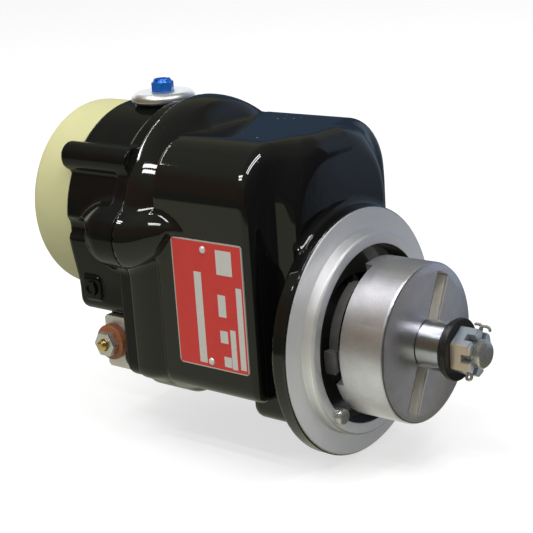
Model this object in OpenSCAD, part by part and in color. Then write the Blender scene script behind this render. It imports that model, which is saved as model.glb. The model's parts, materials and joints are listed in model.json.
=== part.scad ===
// Aircraft engine magneto with impulse coupling, in millimetres.
// The shaft lies along X with the drive end at +X, Z is up,
// and the origin is on the shaft axis in the face that bolts to the engine.

/* [Mounting flange] */
// Radius of the round flange
flange_r = 43; // [41:0.5:46]
// Thickness of the flange
flange_t = 6; // [5:0.5:7]
// Radius of the pilot spigot
pilot_r = 34.925; // [34:0.025:36]
// Length of the pilot spigot
pilot_h = 4.5; // [3:0.5:6]
// Radius of the recess inside the pilot
recess_r = 30.4; // [30:0.2:31]

/* [Frame] */
// Half width of the wide part of the frame
body_half = 39.6; // [38.5:0.1:41]
// Height of the frame's roof above the shaft
body_top = 68.5; // [67:0.5:72]
// Radius of the two roof corners
roof_r = 19; // [16:0.5:21]
// Half width of the neck behind the flange
neck_half = 26; // [24:0.5:28]
// Distance from the flange face back to the clamp pockets
pocket_back = 14.5; // [14:0.5:18]
// Distance from the flange face back to the frame joint
joint_back = 69; // [68:0.5:72]
// Wall thickness of the frame
frame_wall = 3.6; // [3:0.2:4]
// Radius of the raised arch at the joint
arch_r = 41.4; // [41:0.2:43]
// Height of the arch centre, which is also the distributor axis
dist_z = 36; // [36:0.5:36]

/* [Distributor end] */
// Length of the distributor housing
housing_len = 31.5; // [30:0.5:34]
// Radius of the housing drum
drum_r = 38.7; // [37.5:0.1:40]
// Radius of the rear cap
cap_r = 35.6; // [35:0.2:36]
// Length of the rear cap
cap_len = 21; // [17:0.5:24]

/* [Impulse coupling] */
// Radius of the coupling body
coupling_r = 27.1; // [26.5:0.1:28]
// Distance of the coupling face from the flange face
coupling_face = 25.84; // [25:0.1:27]
// Depth of the coupling body
coupling_depth = 16.4; // [16:0.1:17]
// Width of the drive slot
slot_w = 6.6; // [5.5:0.1:7.5]
// Depth of the drive slot
slot_depth = 4.6; // [3:0.1:5]
// Half length of the drive slot
slot_half = 23.9; // [22:0.1:24.5]
// Turn of the drive slot away from vertical
slot_turn = -26; // [-40:1:40]
// Radius of the hub sleeve
sleeve_r = 8.35; // [8:0.05:8.4]

/* [Shaft end] */
// Radius of the threaded end
thread_r = 4.76; // [4.5:0.01:5]
// Distance of the threaded tip from the flange face
shaft_tip = 48.5; // [47.5:0.5:50]
// Width across flats of the slotted nut
nut_flats = 14.29; // [13:0.01:15]

/* [Gears] */
// Teeth on the rotor gear
rotor_teeth = 24; // [24:1:24]
// Teeth on the distributor gear
dist_teeth = 48; // [48:1:48]
// Play between the teeth
gear_play = 0.25; // [0.15:0.05:0.35]

/* [Fits] */
// Gap round pieces that turn freely
run_gap = 0.35; // [0.3:0.05:0.4]
// Radial clearance of a running journal
journal_gap = 0.05; // [0.03:0.01:0.1]

/* [Hidden] */
$fn = 72;
eps = 0.5;
joint_x = -joint_back;
rear_x = joint_x - housing_len;
pocket_x = -pocket_back;
body_low = -17.3;
low_r = 6;
edge_r = 3.2;
scoop_r = 8;
scoop_top = body_top - roof_r;
neck_low = -29;
neck_low_r = 5;
neck_foot = -30.5;
arch_z = dist_z - 0.2;
arch_len = 13;
bulge_r = 28;
recess_x = -7.5;
recess_floor = -3;
recess_low_r = 20;
front_brg = [-24, -12];
brg_r = 20;
seal_r = 15;
journal_r = 8.5;
rotor_x = [-60, -29];
rotor_r = 21.2;
tunnel_r = rotor_r + 0.4;
cavity_r = 25;
cavity_half = body_half - frame_wall;
cavity_low = -13.8;
cavity_low_r = 3;
cavity_top = body_top - frame_wall;
side_boss = [body_half - 4.6, 34.5];
side_boss_r = 12.7;
low_boss = [body_half - 12.6, -12.5];
low_boss_r = 9.5;
screw_r = 2.5;
screw_head_r = 4.3;
head_h = 4.6;
boss_r = 6.5;
side_seat = joint_x - 10.5;
low_seat = joint_x - 6;
// Each joint screw: Y, Z, head seat, length
screw_y = [body_half + 1.6, body_half - 8.1];
joint_screw = [[screw_y[0], 34.8, side_seat, 19.5], [-screw_y[0], 34.8, side_seat, 19.5],
  [screw_y[1], -12, low_seat, 13.5], [-screw_y[1], -12, low_seat, 13.5]];
plate_x = [-48.3, pocket_x - edge_r - 0.1];
plate_z = [-6.3, 38];
plate_t = 0.6;
rivet_at = [[-34.4, 34.9], [-34, -3.9]];
rivet_ball = 1.48;
rivet_sink = 0.7;
rivet_hole = 0.8;
flange_x = [joint_x - 6, joint_x];
low_block_x = joint_x - 25.4;
low_block = [27, -19.3];
web_x = [joint_x - 10, joint_x - 6.5];
drum_low = 3;
drum_low_half = 35.6;
drum_low_r = 5;
drum_bore = 31.5;
block_r = 33.5;
block_x = [rear_x, rear_x + 4.6];
rear_brg = [joint_x - 10, joint_x];
rear_brg_r = 16;
rear_journal = 6;
gear_x = [joint_x - 15.5, joint_x - 11];
cam_x = [joint_x - 22, joint_x - 18];
cam_seat = 4;
chamber = [24, -16.5];
chamber_x = joint_x - 23;
port_x = -84;
port_top = 78.4;
port_r = 11.6;
port_h = 3.4;
port_pad_r = 9.2;
gasket_t = 0.8;
term_x = -89.7;
term_z = -8.8;
bracket_y = [-30, -low_block[0]];
bracket_end = -80.5;
bracket_top = 0.5;
bush_r = 6.6;
spigot_r = 4;
bush_face = -33.2;
stud_r = 2.1;
stud_tip_r = 1.9;
stud_y = [-38.2, -23.6];
term_nut_h = 3;
can_r = 5.5;
can_at = [-18, -11];
vent_at = [-92.3, 12.6];
cap_boss = [31.5, 59.5];
cap_boss_r = 5.2;
cap_wall = 2;
cap_z = dist_z + 1.6;
dist_bush_r = 5;
axle_r = 3;
rear_bush_r = 4.5;
rear_bush_len = 4;
axle_x = [block_x[1] - rear_bush_len + 0.2, joint_x - 3];
brush_r = 1.5;
brush_x = [joint_x - 10, joint_x + 1.9];
brush_tail_r = 0.65;
brush_bore_x = joint_x - 15;
electrode_r = 24;
electrode_pin = 1.8;
tower_r = 6;
tower_h = 7;
tower_well = 3.6;
finger_x = [gear_x[0] - 2.5, gear_x[0]];
hub_x = [-6, 35];
hub_plate_r = 23.5;
hub_plate_x = [6.2, 9.1];
hub_bore = 6;
coupling_rear = coupling_face - coupling_depth;
cup_wall = 3.1;
cup_floor = 18.6;
ear_x = 6.4;
ear_from = 20;
ear_to = 103;
spring_x = [10.6, 17.8];
weight_x = [2, 5.9];
weight_turn = 115;
weight_pin_r = 17.2;
weight_eye = 4.6;
weight_hole = 2.4;
weight_out = 25.6;
weight_ring = [12.5, 22.5];
weight_span = 76;
tail_in = 17;
tail_span = [62, 80];
stop_pin_at = [-21.6, -22.2];
stop_pin_r = 3;
stop_pin_x = [-6, 7];
washer_x = [35, 36.4, 38.4];
washer_r = [9.5, 10.4];
nut_x = [38.4, 45.4];
cotter_x = 43.6;
cotter_r = 0.75;
cotter_eye = 1.1;
cotter_bend = 8.4;
core_x = [-53, -36];
core_z = [38, 48];
core_half = cavity_half - 2;
ledge_in = core_half - 3;
shoe_half = cavity_half - 12;
wind_half = 21.5;
wind_x = [-61.5, -27.5];
wind_z = [25.5, 61];
ledge_z = [51, 55];
breaker_x = [cam_x[1] + 1.5, cam_x[1] + 2.4];
arm_x = [cam_x[0] + 0.4, cam_x[1] - 0.4];
arm_pivot = [15, -10];
pivot_r = 1.8;
arm_z = [-11.2, -9];
points_y = -8.5;
contact_r = 1.6;
cam_hole = 7;
post_at = [[16, 5], [-9.5, -13.4]];
breaker_screw_r = 1.4;
front_pitch = 14.1;
front_ball = 3.1;
front_rings = [11.2, 17];
rear_pitch = 11;
rear_ball = 2.5;
rear_rings = [8.8, 13.2];
spiral_in = 9.6;
spiral_out = 23.6;
strip = 0.9;
turns = 4;
key_x = [12, 19];
key_half = 1.5;
key_z = [4, 7.2];
magnet_r = 15;
pole_gap = 15;

// Cylinder along X from x[0] to x[1]
module rod(r, x) {
  translate([x[0], 0, 0]) rotate([0, 90, 0]) cylinder(r = r, h = x[1] - x[0]);
}

// Tube along X
module tube(r_in, r_out, x) {
  difference() {
    rod(r_out, x);
    rod(r_in, [x[0] - 1, x[1] + 1]);
  }
}

// Solid turned about X from a list of [radius, x]
module turned(points) {
  rotate([0, 90, 0]) rotate_extrude() polygon(points);
}

// Flat shape in Y and Z carried along X
module slab(x) {
  translate([x[0], 0, 0]) rotate([90, 0, 90]) linear_extrude(x[1] - x[0]) children();
}

// Box from one corner to the other
module box(a, b) {
  translate(a) cube(b - a);
}

// Rectangle with round corners
module round_rect(a, b, r) {
  translate([a[0] + r, a[1]]) square([b[0] - a[0] - 2 * r, b[1] - a[1]]);
  translate([a[0], a[1] + r]) square([b[0] - a[0], b[1] - a[1] - 2 * r]);
  for (u = [a[0] + r, b[0] - r], v = [a[1] + r, b[1] - r]) translate([u, v]) circle(r);
}

// Quarter round, as points, from [r, x - f] to [r - f, x]
function round_edge(r, x, f, s) =
  [for (a = [0:15:90]) [r - f + f * cos(a), x + s * (f * sin(a) - f)]];

// Disc along X whose rims are rounded by f[0] at the back and f[1] at the front
module soft_disc(r, x, f) {
  back = round_edge(r, x[0], f[0], -1);
  turned_points = concat([[0, x[0]]], [for (i = [6:-1:0]) back[i]],
    round_edge(r, x[1], f[1], 1), [[0, x[1]]]);
  rotate([0, 90, 0]) rotate_extrude($fn = 40) polygon(turned_points);
}

// Arch outline with square feet, as used on both sides of the joint
module arch(r, half, low, foot, x, f) {
  hull() {
    translate([0, 0, arch_z]) soft_disc(r, x, f);
    for (s = [-1, 1]) translate([0, s * (half - foot), low + foot]) soft_disc(foot, x, f);
  }
}

// Screw boss on the frame's side, tapering to a point at the front
module side_boss_shape(s) {
  hull() {
    translate([0, s * side_boss[0], side_boss[1]])
      soft_disc(side_boss_r, [joint_x, joint_x + 8], [0.2, 1]);
    translate([joint_x + 12, s * (side_boss[0] + 1), side_boss[1] + 2.5]) sphere(r = 9, $fn = 28);
    translate([joint_x + 20.5, s * (side_boss[0] + 2), side_boss[1] + 6.8]) sphere(r = 3.2, $fn = 24);
  }
}

// Fillet of radius scoop_r between the wide body's front and the neck's side
module scoop(s) {
  difference() {
    box([pocket_x - 1, min(s * (neck_half - 1), s * (neck_half + scoop_r)), neck_low + neck_low_r],
      [pocket_x + scoop_r, max(s * (neck_half - 1), s * (neck_half + scoop_r)), scoop_top]);
    translate([pocket_x + scoop_r, s * (neck_half + scoop_r), neck_low])
      cylinder(r = scoop_r, h = scoop_top - neck_low + 1);
    box([-flange_t, min(0, s * 60), neck_low], [0, max(0, s * 60), scoop_top + 1]);
  }
}

module frame_outside() {
  x = [joint_x, pocket_x];
  hull() for (s = [-1, 1]) {
    translate([0, s * (body_half - roof_r), body_top - roof_r]) soft_disc(roof_r, x, [0.2, edge_r]);
    translate([0, s * (body_half - low_r), body_low + low_r]) soft_disc(low_r, x, [0.2, 5]);
  }
  hull() for (s = [-1, 1]) {
    neck = [-34, -flange_t];
    translate([0, s * (neck_half - roof_r), body_top - roof_r]) soft_disc(roof_r, neck, [0.2, 8]);
    translate([0, s * (neck_half - neck_low_r), neck_low + neck_low_r])
      soft_disc(neck_low_r, [neck_foot, -flange_t], [4, 0.5]);
  }
  for (s = [-1, 1]) scoop(s);
  arch(arch_r, body_half + 1.4, body_low, low_r, [joint_x, joint_x + arch_len], [0.2, 2.5]);
  rod(bulge_r, [joint_x, -20]);
  for (s = [-1, 1]) {
    side_boss_shape(s);
    translate([0, s * low_boss[0], low_boss[1]])
      soft_disc(low_boss_r, [joint_x, joint_x + 24], [0.2, 7]);
  }
  turned([[0, -flange_t - 4], [flange_r, -flange_t], [flange_r, -0.8], [flange_r - 0.8, 0],
    [pilot_r, 0], [pilot_r, pilot_h - 0.7], [pilot_r - 0.7, pilot_h], [0, pilot_h]]);
}

// Section of the hollow inside the frame
module cavity_section(gap) {
  half = cavity_half - gap;
  round_rect([-half, 8], [half, cavity_top - gap], roof_r - frame_wall);
  round_rect([-half, cavity_low + gap], [half, 40], cavity_low_r);
}

module drive_frame() color([0.07, 0.07, 0.08]) {
  difference() {
    frame_outside();
    rod(recess_r, [recess_floor, pilot_h + 1]);
    rod(recess_low_r, [recess_x, recess_floor + 1]);
    rod(seal_r, [front_brg[1] - 1, recess_x + 1]);
    rod(brg_r, front_brg);
    rod(cavity_r, [joint_x - 1, front_brg[0] + 0.01]);
    difference() {
      slab([joint_x - 1, front_brg[0]]) cavity_section(0);
      for (p = joint_screw) translate([0, p[0], p[1]]) rod(boss_r, [joint_x - 2, rotor_x[0] - 0.3]);
    }
    slab([front_brg[0] - 1, -11]) round_rect([-22, 24], [22, cavity_top - 2], 6);
    for (p = joint_screw) translate([0, p[0], p[1]]) rod(screw_r, [joint_x - 1, p[2] + p[3]]);
    for (p = rivet_at) translate([p[0], -body_half - 1, p[1]]) rotate([-90, 0, 0])
      cylinder(r = rivet_hole, h = 3.5);
    translate([0, stop_pin_at[0], stop_pin_at[1]]) rod(stop_pin_r, [stop_pin_x[0], pilot_h + 1]);
  }
  for (s = [-1, 1]) box([core_x[0], min(s * ledge_in, s * (cavity_half + eps)), ledge_z[0]],
    [core_x[1], max(s * ledge_in, s * (cavity_half + eps)), ledge_z[1]]);
}

// Screw boss on the housing's side, tapering to a point at the rear
module housing_boss(s) {
  hull() {
    translate([0, s * side_boss[0], side_boss[1]])
      soft_disc(side_boss_r - 0.4, [joint_x - 9, joint_x], [1, 0.2]);
    translate([joint_x - 15, s * side_boss[0], side_boss[1] + 0.8]) sphere(r = 8.6, $fn = 28);
    translate([joint_x - 23, s * (side_boss[0] + 1), side_boss[1] + 1.9]) sphere(r = 3.6, $fn = 24);
  }
}

module distributor_housing() color([0.05, 0.05, 0.055]) {
  housing_casting();
  for (p = post_at) translate([0, p[0], p[1]]) tube(breaker_screw_r, 2.4, [breaker_x[1], web_x[0]]);
}

module housing_casting() difference() {
  union() {
    arch(arch_r - 0.7, body_half + 0.4, body_low, low_r, flange_x, [1.2, 0.2]);
    hull() {
      drum_x = [rear_x, flange_x[1] - 1];
      translate([0, 0, arch_z]) soft_disc(drum_r, drum_x, [2, 0.2]);
      for (s = [-1, 1]) translate([0, s * (drum_low_half - drum_low_r), drum_low + drum_low_r])
        soft_disc(drum_low_r, drum_x, [2, 0.2]);
    }
    slab([low_block_x, flange_x[1] - 1])
      round_rect([-low_block[0], low_block[1]], [low_block[0], 14], 4);
    for (s = [-1, 1]) {
      housing_boss(s);
      translate([0, s * cap_boss[0], cap_boss[1]])
        soft_disc(cap_boss_r, [rear_x - 1.5, flange_x[1] - 1], [1, 0.2]);
    }
    translate([port_x, 0, arch_z]) cylinder(r = port_pad_r, h = port_top - port_h - gasket_t - arch_z);
    box([vent_at[0] - 4.4, -drum_low_half - 1.4, vent_at[1] - 4.4],
      [vent_at[0] + 4.4, -drum_low_half + 4, vent_at[1] + 4.4]);
  }
  translate([0, 0, dist_z]) {
    rod(drum_bore, [block_x[1] - 1, web_x[0]]);
    rod(block_r, [rear_x - 2, block_x[1]]);
    rod(dist_bush_r, [web_x[0] - 1, joint_x + 1]);
  }
  slab([chamber_x, web_x[0]]) round_rect([-chamber[0], chamber[1]], [chamber[0], 26], 2);
  difference() {
    slab([web_x[1], joint_x + 1]) cavity_section(1);
    rod(rear_brg_r + 4, [web_x[1] - 1, joint_x]);
    translate([0, 0, dist_z]) rod(dist_bush_r + 3, [web_x[1] - 1, axle_x[1]]);
    for (p = joint_screw) translate([0, p[0], p[1]]) rod(boss_r, [web_x[1] - 1, joint_x]);
  }
  rod(rear_brg_r, [rear_brg[0], joint_x + 1]);
  rod(9.5, [web_x[0] - 1, joint_x]);
  for (p = joint_screw) translate([0, p[0], p[1]]) {
    rod(screw_r + 0.2, [p[2] - 1, joint_x + 1]);
    rod(screw_head_r + 0.5, [rear_x - 2, p[2]]);
  }
  for (s = [-1, 1]) translate([0, s * cap_boss[0], cap_boss[1]]) rod(2, [rear_x - 3, rear_x + 12]);
  translate([0, 0, cap_z]) rod(cap_r + run_gap, [rear_x - 3, rear_x]);
  translate([port_x, 0, port_top - 14]) cylinder(r = 2.5, h = 20);
  translate([port_x, 0, port_top - port_h - gasket_t]) cylinder(r = port_r + 0.4, h = 10);
  translate([term_x, -low_block[0] - 1, term_z]) rotate([-90, 0, 0]) cylinder(r = spigot_r, h = 6);
  translate([vent_at[0], -drum_low_half - 3, vent_at[1]]) rotate([-90, 0, 0]) cylinder(r = 2, h = 9);
}

module rear_cap() color([0.8, 0.79, 0.58]) translate([0, 0, cap_z]) {
  x0 = rear_x - cap_len;
  f = 4;
  outer = round_edge(cap_r, x0, f, -1);
  inner = round_edge(cap_r - cap_wall, x0 + cap_wall, f - cap_wall, -1);
  turned(concat([[0, x0]], [for (i = [6:-1:0]) outer[i]], [[cap_r, rear_x], [cap_r - cap_wall, rear_x]],
    inner, [[0, x0 + cap_wall]]));
}

module name_plate() color([0.72, 0.16, 0.14]) difference() {
  translate([0, -body_half, 0]) rotate([90, 0, 0]) linear_extrude(plate_t)
    round_rect([plate_x[0], plate_z[0]], [plate_x[1], plate_z[1]], 1.4);
  for (p = rivet_at) translate([p[0], -body_half - 2, p[1]]) rotate([-90, 0, 0])
    cylinder(r = rivet_hole, h = 4);
}

module plate_rivets() color([0.8, 0.8, 0.82]) for (p = rivet_at)
  translate([p[0], -body_half - plate_t, p[1]]) {
    rotate([90, 0, 0]) rotate_extrude() intersection() {
      translate([0, -rivet_sink]) circle(rivet_ball);
      square(rivet_ball);
    }
    rotate([-90, 0, 0]) cylinder(r = rivet_hole, h = plate_t + 2.5);
  }

module port_cover() color([0.75, 0.75, 0.77]) translate([port_x, 0, port_top - port_h]) difference() {
  f = 1.6;
  rotate_extrude() polygon(concat([[0, 0], [port_r, 0]],
    [for (a = [0:15:90]) [port_r - f + f * cos(a), port_h - f + f * sin(a)]], [[0, port_h]]));
  translate([0, 0, -1]) cylinder(r = 2.7, h = port_h + 2);
}

module port_gasket() color([0.03, 0.03, 0.03])
  translate([port_x, 0, port_top - port_h - gasket_t]) difference() {
    cylinder(r = port_pad_r + 0.6, h = gasket_t);
    translate([0, 0, -1]) cylinder(r = 2.7, h = gasket_t + 2);
  }

module port_screw() color([0.1, 0.35, 0.75]) translate([port_x, 0, port_top]) difference() {
  union() {
    cylinder(r = 4.2, h = 3.2, $fn = 6);
    translate([0, 0, 3.2]) cylinder(r1 = 3.6, r2 = 2.9, h = 1.2);
    translate([0, 0, -13]) cylinder(r = 2.5, h = 13.2);
  }
  translate([-0.5, -5, 3.4]) cube([1, 10, 2]);
}

module joint_screws() color([0.2, 0.2, 0.21]) for (p = joint_screw) translate([p[2], p[0], p[1]])
  difference() {
    union() {
      rod(screw_head_r, [-head_h, 0]);
      rod(screw_r, [-0.1, p[3] - 1]);
    }
    translate([-head_h - 1, 0, 0]) rotate([0, 90, 0]) cylinder(r = 2.3, h = 3.4, $fn = 6);
  }

module vent_plug() color([0.12, 0.12, 0.12])
  translate([vent_at[0], -drum_low_half - 1.4, vent_at[1]]) rotate([90, 0, 0]) difference() {
    union() {
      cylinder(r = 2.8, h = 1);
      translate([0, 0, -5]) cylinder(r = 2, h = 5.2);
    }
    translate([0, 0, 0.4]) cylinder(r = 1.5, h = 2);
  }

module condenser_can() color([0.7, 0.7, 0.7]) translate([0, can_at[0], can_at[1]])
  rod(can_r, [chamber_x, web_x[0]]);

module condenser_bracket() color([0.82, 0.82, 0.8]) difference() {
  translate([0, bracket_y[1], 0]) rotate([90, 0, 0]) linear_extrude(bracket_y[1] - bracket_y[0])
    polygon([[low_block_x, low_block[1] + 1], [low_block_x + 1, low_block[1]],
      [bracket_end, low_block[1]], [bracket_end, bracket_top], [low_block_x + 1, bracket_top],
      [low_block_x, bracket_top - 1]]);
  translate([term_x, bracket_y[0] - 1, term_z]) rotate([-90, 0, 0]) cylinder(r = spigot_r, h = 6);
}

module terminal_bush() color([0.55, 0.3, 0.16]) translate([term_x, 0, term_z]) rotate([90, 0, 0])
  difference() {
    union() {
      translate([0, 0, -bracket_y[0]]) cylinder(r = bush_r, h = bracket_y[0] - bush_face);
      translate([0, 0, chamber[0]]) cylinder(r = spigot_r, h = -bracket_y[0] - chamber[0] + 0.1);
    }
    translate([0, 0, 10]) cylinder(r = stud_r, h = 40);
  }

module terminal_stud() color([0.7, 0.65, 0.5]) translate([term_x, 0, term_z]) rotate([90, 0, 0]) {
  nut_face = term_nut_h - bush_face;
  translate([0, 0, -stud_y[1]]) cylinder(r = stud_r, h = nut_face + stud_y[1]);
  translate([0, 0, nut_face - 0.1]) cylinder(r = stud_tip_r, h = -stud_y[0] - nut_face - 0.5);
  translate([0, 0, -stud_y[0] - 0.6]) cylinder(r1 = stud_tip_r, r2 = stud_tip_r - 0.6, h = 0.6);
}

module terminal_nut() color([0.75, 0.74, 0.7]) translate([term_x, bush_face, term_z])
  rotate([90, 0, 0]) difference() {
    cylinder(r = 4.9, h = term_nut_h, $fn = 6);
    translate([0, 0, -1]) cylinder(r = stud_r, h = term_nut_h + 2);
  }

// Ring of a ball bearing with its groove
module race(r_in, r_out, x, pitch, groove) {
  rotate([0, 90, 0]) rotate_extrude() difference() {
    translate([r_in, x[0]]) square([r_out - r_in, x[1] - x[0]]);
    translate([pitch, (x[0] + x[1]) / 2]) circle(groove);
  }
}

module ball_ring(x, pitch, r, count) {
  for (i = [0:count - 1]) rotate([i * 360 / count, 0, 0]) translate([(x[0] + x[1]) / 2, 0, pitch])
    sphere(r);
}

module cage_ring(x, pitch, r, count) {
  m = (x[0] + x[1]) / 2;
  difference() {
    tube(pitch - 0.9, pitch + 0.9, [m - r - 0.7, m + r + 0.7]);
    ball_ring(x, pitch, r + 0.1, count);
  }
}

module front_outer_race() color([0.72, 0.72, 0.74])
  race(front_rings[1], brg_r, front_brg, front_pitch, front_ball + run_gap);
module front_inner_race() color([0.72, 0.72, 0.74])
  race(journal_r, front_rings[0], front_brg, front_pitch, front_ball + run_gap);
module front_balls() color([0.8, 0.8, 0.82]) ball_ring(front_brg, front_pitch, front_ball, 9);
module front_cage() color([0.6, 0.45, 0.2]) cage_ring(front_brg, front_pitch, front_ball, 9);

module rear_outer_race() color([0.72, 0.72, 0.74])
  race(rear_rings[1], rear_brg_r, rear_brg, rear_pitch, rear_ball + run_gap);
module rear_inner_race() color([0.72, 0.72, 0.74])
  race(rear_journal, rear_rings[0], rear_brg, rear_pitch, rear_ball + run_gap);
module rear_balls() color([0.8, 0.8, 0.82]) ball_ring(rear_brg, rear_pitch, rear_ball, 8);
module rear_cage() color([0.6, 0.45, 0.2]) cage_ring(rear_brg, rear_pitch, rear_ball, 8);

module oil_seal() color([0.1, 0.08, 0.07])
  tube(journal_r + journal_gap, seal_r, [front_brg[1] + 0.2, recess_x - 0.3]);

module stop_pin() color([0.8, 0.8, 0.82]) translate([0, stop_pin_at[0], stop_pin_at[1]])
  turned(concat([[0, stop_pin_x[0]], [stop_pin_r, stop_pin_x[0]]],
    [for (a = [0:15:90]) [stop_pin_r - 1.8 + 1.8 * cos(a), stop_pin_x[1] - 1.8 + 1.8 * sin(a)]],
    [[0, stop_pin_x[1]]]));

module rotor_shaft() color([0.66, 0.66, 0.68]) difference() {
  turned([[0, cam_x[0] - 0.5], [cam_seat, cam_x[0] - 0.5], [cam_seat, gear_x[0]],
    [rear_journal, gear_x[0]], [rear_journal, joint_x], [8, joint_x], [8, rotor_x[0]],
    [journal_r, rotor_x[0]], [journal_r, rotor_x[1]], [10.2, rotor_x[1]], [10.2, front_brg[0]],
    [journal_r, front_brg[0]], [journal_r, hub_x[0]], [hub_bore, hub_x[0]], [hub_bore, hub_x[1] - 1],
    [thread_r, hub_x[1] - 1], [thread_r, shaft_tip - 1.6], [thread_r - 0.5, shaft_tip - 0.7],
    [thread_r - 1.6, shaft_tip], [0, shaft_tip]]);
  box([key_x[0], -key_half, key_z[0]], [key_x[1], key_half, key_z[1] + 1]);
  translate([cotter_x, 0, -10]) cylinder(r = cotter_r + 0.2, h = 20);
}

module rotor_magnet() color([0.35, 0.34, 0.33]) tube(journal_r, magnet_r, rotor_x);

module rotor_poles() color([0.5, 0.5, 0.52]) slab(rotor_x) difference() {
  circle(rotor_r);
  circle(magnet_r);
  for (s = [-1, 1]) polygon([[0, 0], [pole_gap, s * 30], [-pole_gap, s * 30]]);
}

function inv(a) = tan(a) * 180 / PI - a;
// Half angle of a tooth at radius r, involute of the base circle
function tooth_half(r, rp, z, play) = let (rb = rp * cos(20), q = max(r, rb))
  90 / z - play / rp * 45 / PI + inv(20) - inv(acos(rb / q));

module gear_shape(z, play) {
  rp = z / 2;
  steps = [rp - 1.25, rp - 0.6, rp, rp + 0.5, rp + 1];
  polygon([for (i = [0:z - 1]) each concat(
    [for (r = steps) let (a = i * 360 / z - tooth_half(r, rp, z, play)) r * [cos(a), sin(a)]],
    [for (k = [4:-1:0]) let (r = steps[k], a = i * 360 / z + tooth_half(r, rp, z, play))
      r * [cos(a), sin(a)]])]);
}

module rotor_gear() color([0.7, 0.6, 0.35]) slab(gear_x) difference() {
  gear_shape(rotor_teeth, gear_play);
  circle(rear_journal);
}

module breaker_cam() color([0.55, 0.55, 0.57]) slab(cam_x) difference() {
  union() {
    circle(5.4);
    intersection() {
      translate([0, 5]) circle(8.1);
      translate([0, -5]) circle(8.1);
    }
  }
  circle(cam_seat);
}

module drive_key() color([0.6, 0.6, 0.6])
  box([key_x[0], -key_half, key_z[0]], [key_x[1], key_half, key_z[1]]);

module coupling_hub() color([0.82, 0.82, 0.84]) difference() {
  union() {
    rod(sleeve_r, hub_x);
    rod(hub_plate_r, hub_plate_x);
  }
  rod(hub_bore, [hub_x[0] - 1, hub_x[1] - 1]);
  rod(thread_r, [hub_x[0], hub_x[1] + 1]);
  box([key_x[0], -key_half, 0], [key_x[1], key_half, key_z[1]]);
  for (a = [0, 180]) rotate([weight_turn + a, 0, 0]) translate([0, weight_pin_r, 0])
    rod(weight_hole, [hub_plate_x[0] - 1, hub_plate_x[1] + 1]);
}

// Sector of the plane from angle a to angle b, as a polygon
module sector(a, b) {
  polygon(concat([[0, 0]], [for (i = [0:4]) 60 * [cos(a + (b - a) * i / 4), sin(a + (b - a) * i / 4)]]));
}

module coupling_body() color([0.7, 0.7, 0.72]) {
  coupling_shell();
  slab([ear_x, coupling_rear + 0.2]) for (a = [0, 180]) intersection() {
    difference() {
      circle(coupling_r);
      circle(coupling_r - cup_wall);
    }
    sector(a + ear_from, a + ear_to);
  }
}

module coupling_shell() difference() {
  turned([[0, coupling_rear], [coupling_r, coupling_rear], [coupling_r, coupling_face - 1.2],
    [coupling_r - 0.4, coupling_face - 0.4], [coupling_r - 1.2, coupling_face], [0, coupling_face]]);
  rod(coupling_r - cup_wall, [coupling_rear - 1, cup_floor]);
  rod(sleeve_r + run_gap, [cup_floor - 1, coupling_face + 1]);
  rotate([slot_turn, 0, 0]) box([coupling_face - slot_depth, -slot_w / 2, -slot_half],
    [coupling_face + 1, slot_w / 2, slot_half]);
}

// Flat spiral spring: outline points of a strip that winds outward
function spiral(a, off) = let (r = spiral_in + (spiral_out - spiral_in - strip) * a / (360 * turns) + off)
  r * [cos(a), sin(a)];
module coupling_spring() color([0.3, 0.3, 0.33]) slab(spring_x)
  polygon(concat([for (a = [0:12:360 * turns]) spiral(a, 0)],
    [for (a = [360 * turns:-12:0]) spiral(a, strip)]));

// Flyweight: a curved pawl with an eye on its pin and a tail at the rim
module flyweight_shape() {
  difference() {
    union() {
      translate([weight_pin_r, 0]) circle(weight_eye);
      intersection() {
        difference() {
          circle(weight_ring[1]);
          circle(weight_ring[0]);
        }
        sector(0, weight_span);
      }
      intersection() {
        difference() {
          circle(weight_out);
          circle(tail_in);
        }
        sector(tail_span[0], tail_span[1]);
      }
    }
    translate([weight_pin_r, 0]) circle(weight_hole + journal_gap);
  }
}

module flyweight_a() color([0.6, 0.6, 0.6]) slab(weight_x) rotate(weight_turn) flyweight_shape();
module flyweight_b() color([0.6, 0.6, 0.6]) slab(weight_x) rotate(weight_turn + 180) flyweight_shape();

module flyweight_rivets() color([0.66, 0.66, 0.68]) for (a = [0, 180])
  rotate([weight_turn + a, 0, 0]) translate([0, weight_pin_r, 0]) {
    rod(weight_hole, [weight_x[0] - 0.3, hub_plate_x[1]]);
    rod(weight_hole + 1, [weight_x[0] - 1.2, weight_x[0] - 0.3]);
  }

module dished_washer() color([0.12, 0.12, 0.12]) tube(thread_r, washer_r[0], [washer_x[0], washer_x[1]]);
module plain_washer() color([0.1, 0.1, 0.1]) tube(thread_r, washer_r[1], [washer_x[1], washer_x[2]]);

module slotted_nut() color([0.6, 0.63, 0.68]) difference() {
  intersection() {
    translate([nut_x[0], 0, 0]) rotate([0, 90, 0])
      cylinder(r = nut_flats / 2 / cos(30), h = nut_x[1] - nut_x[0], $fn = 6);
    turned([[0, nut_x[0]], [9, nut_x[0]], [9, nut_x[1] - 0.9], [7, nut_x[1]], [0, nut_x[1]]]);
  }
  rod(thread_r, [nut_x[0] - 1, nut_x[1] + 1]);
  for (a = [0, 60, 120]) rotate([a, 0, 0]) box([nut_x[1] - 3, -1.25, -12], [nut_x[1] + 1, 1.25, 12]);
}

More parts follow.
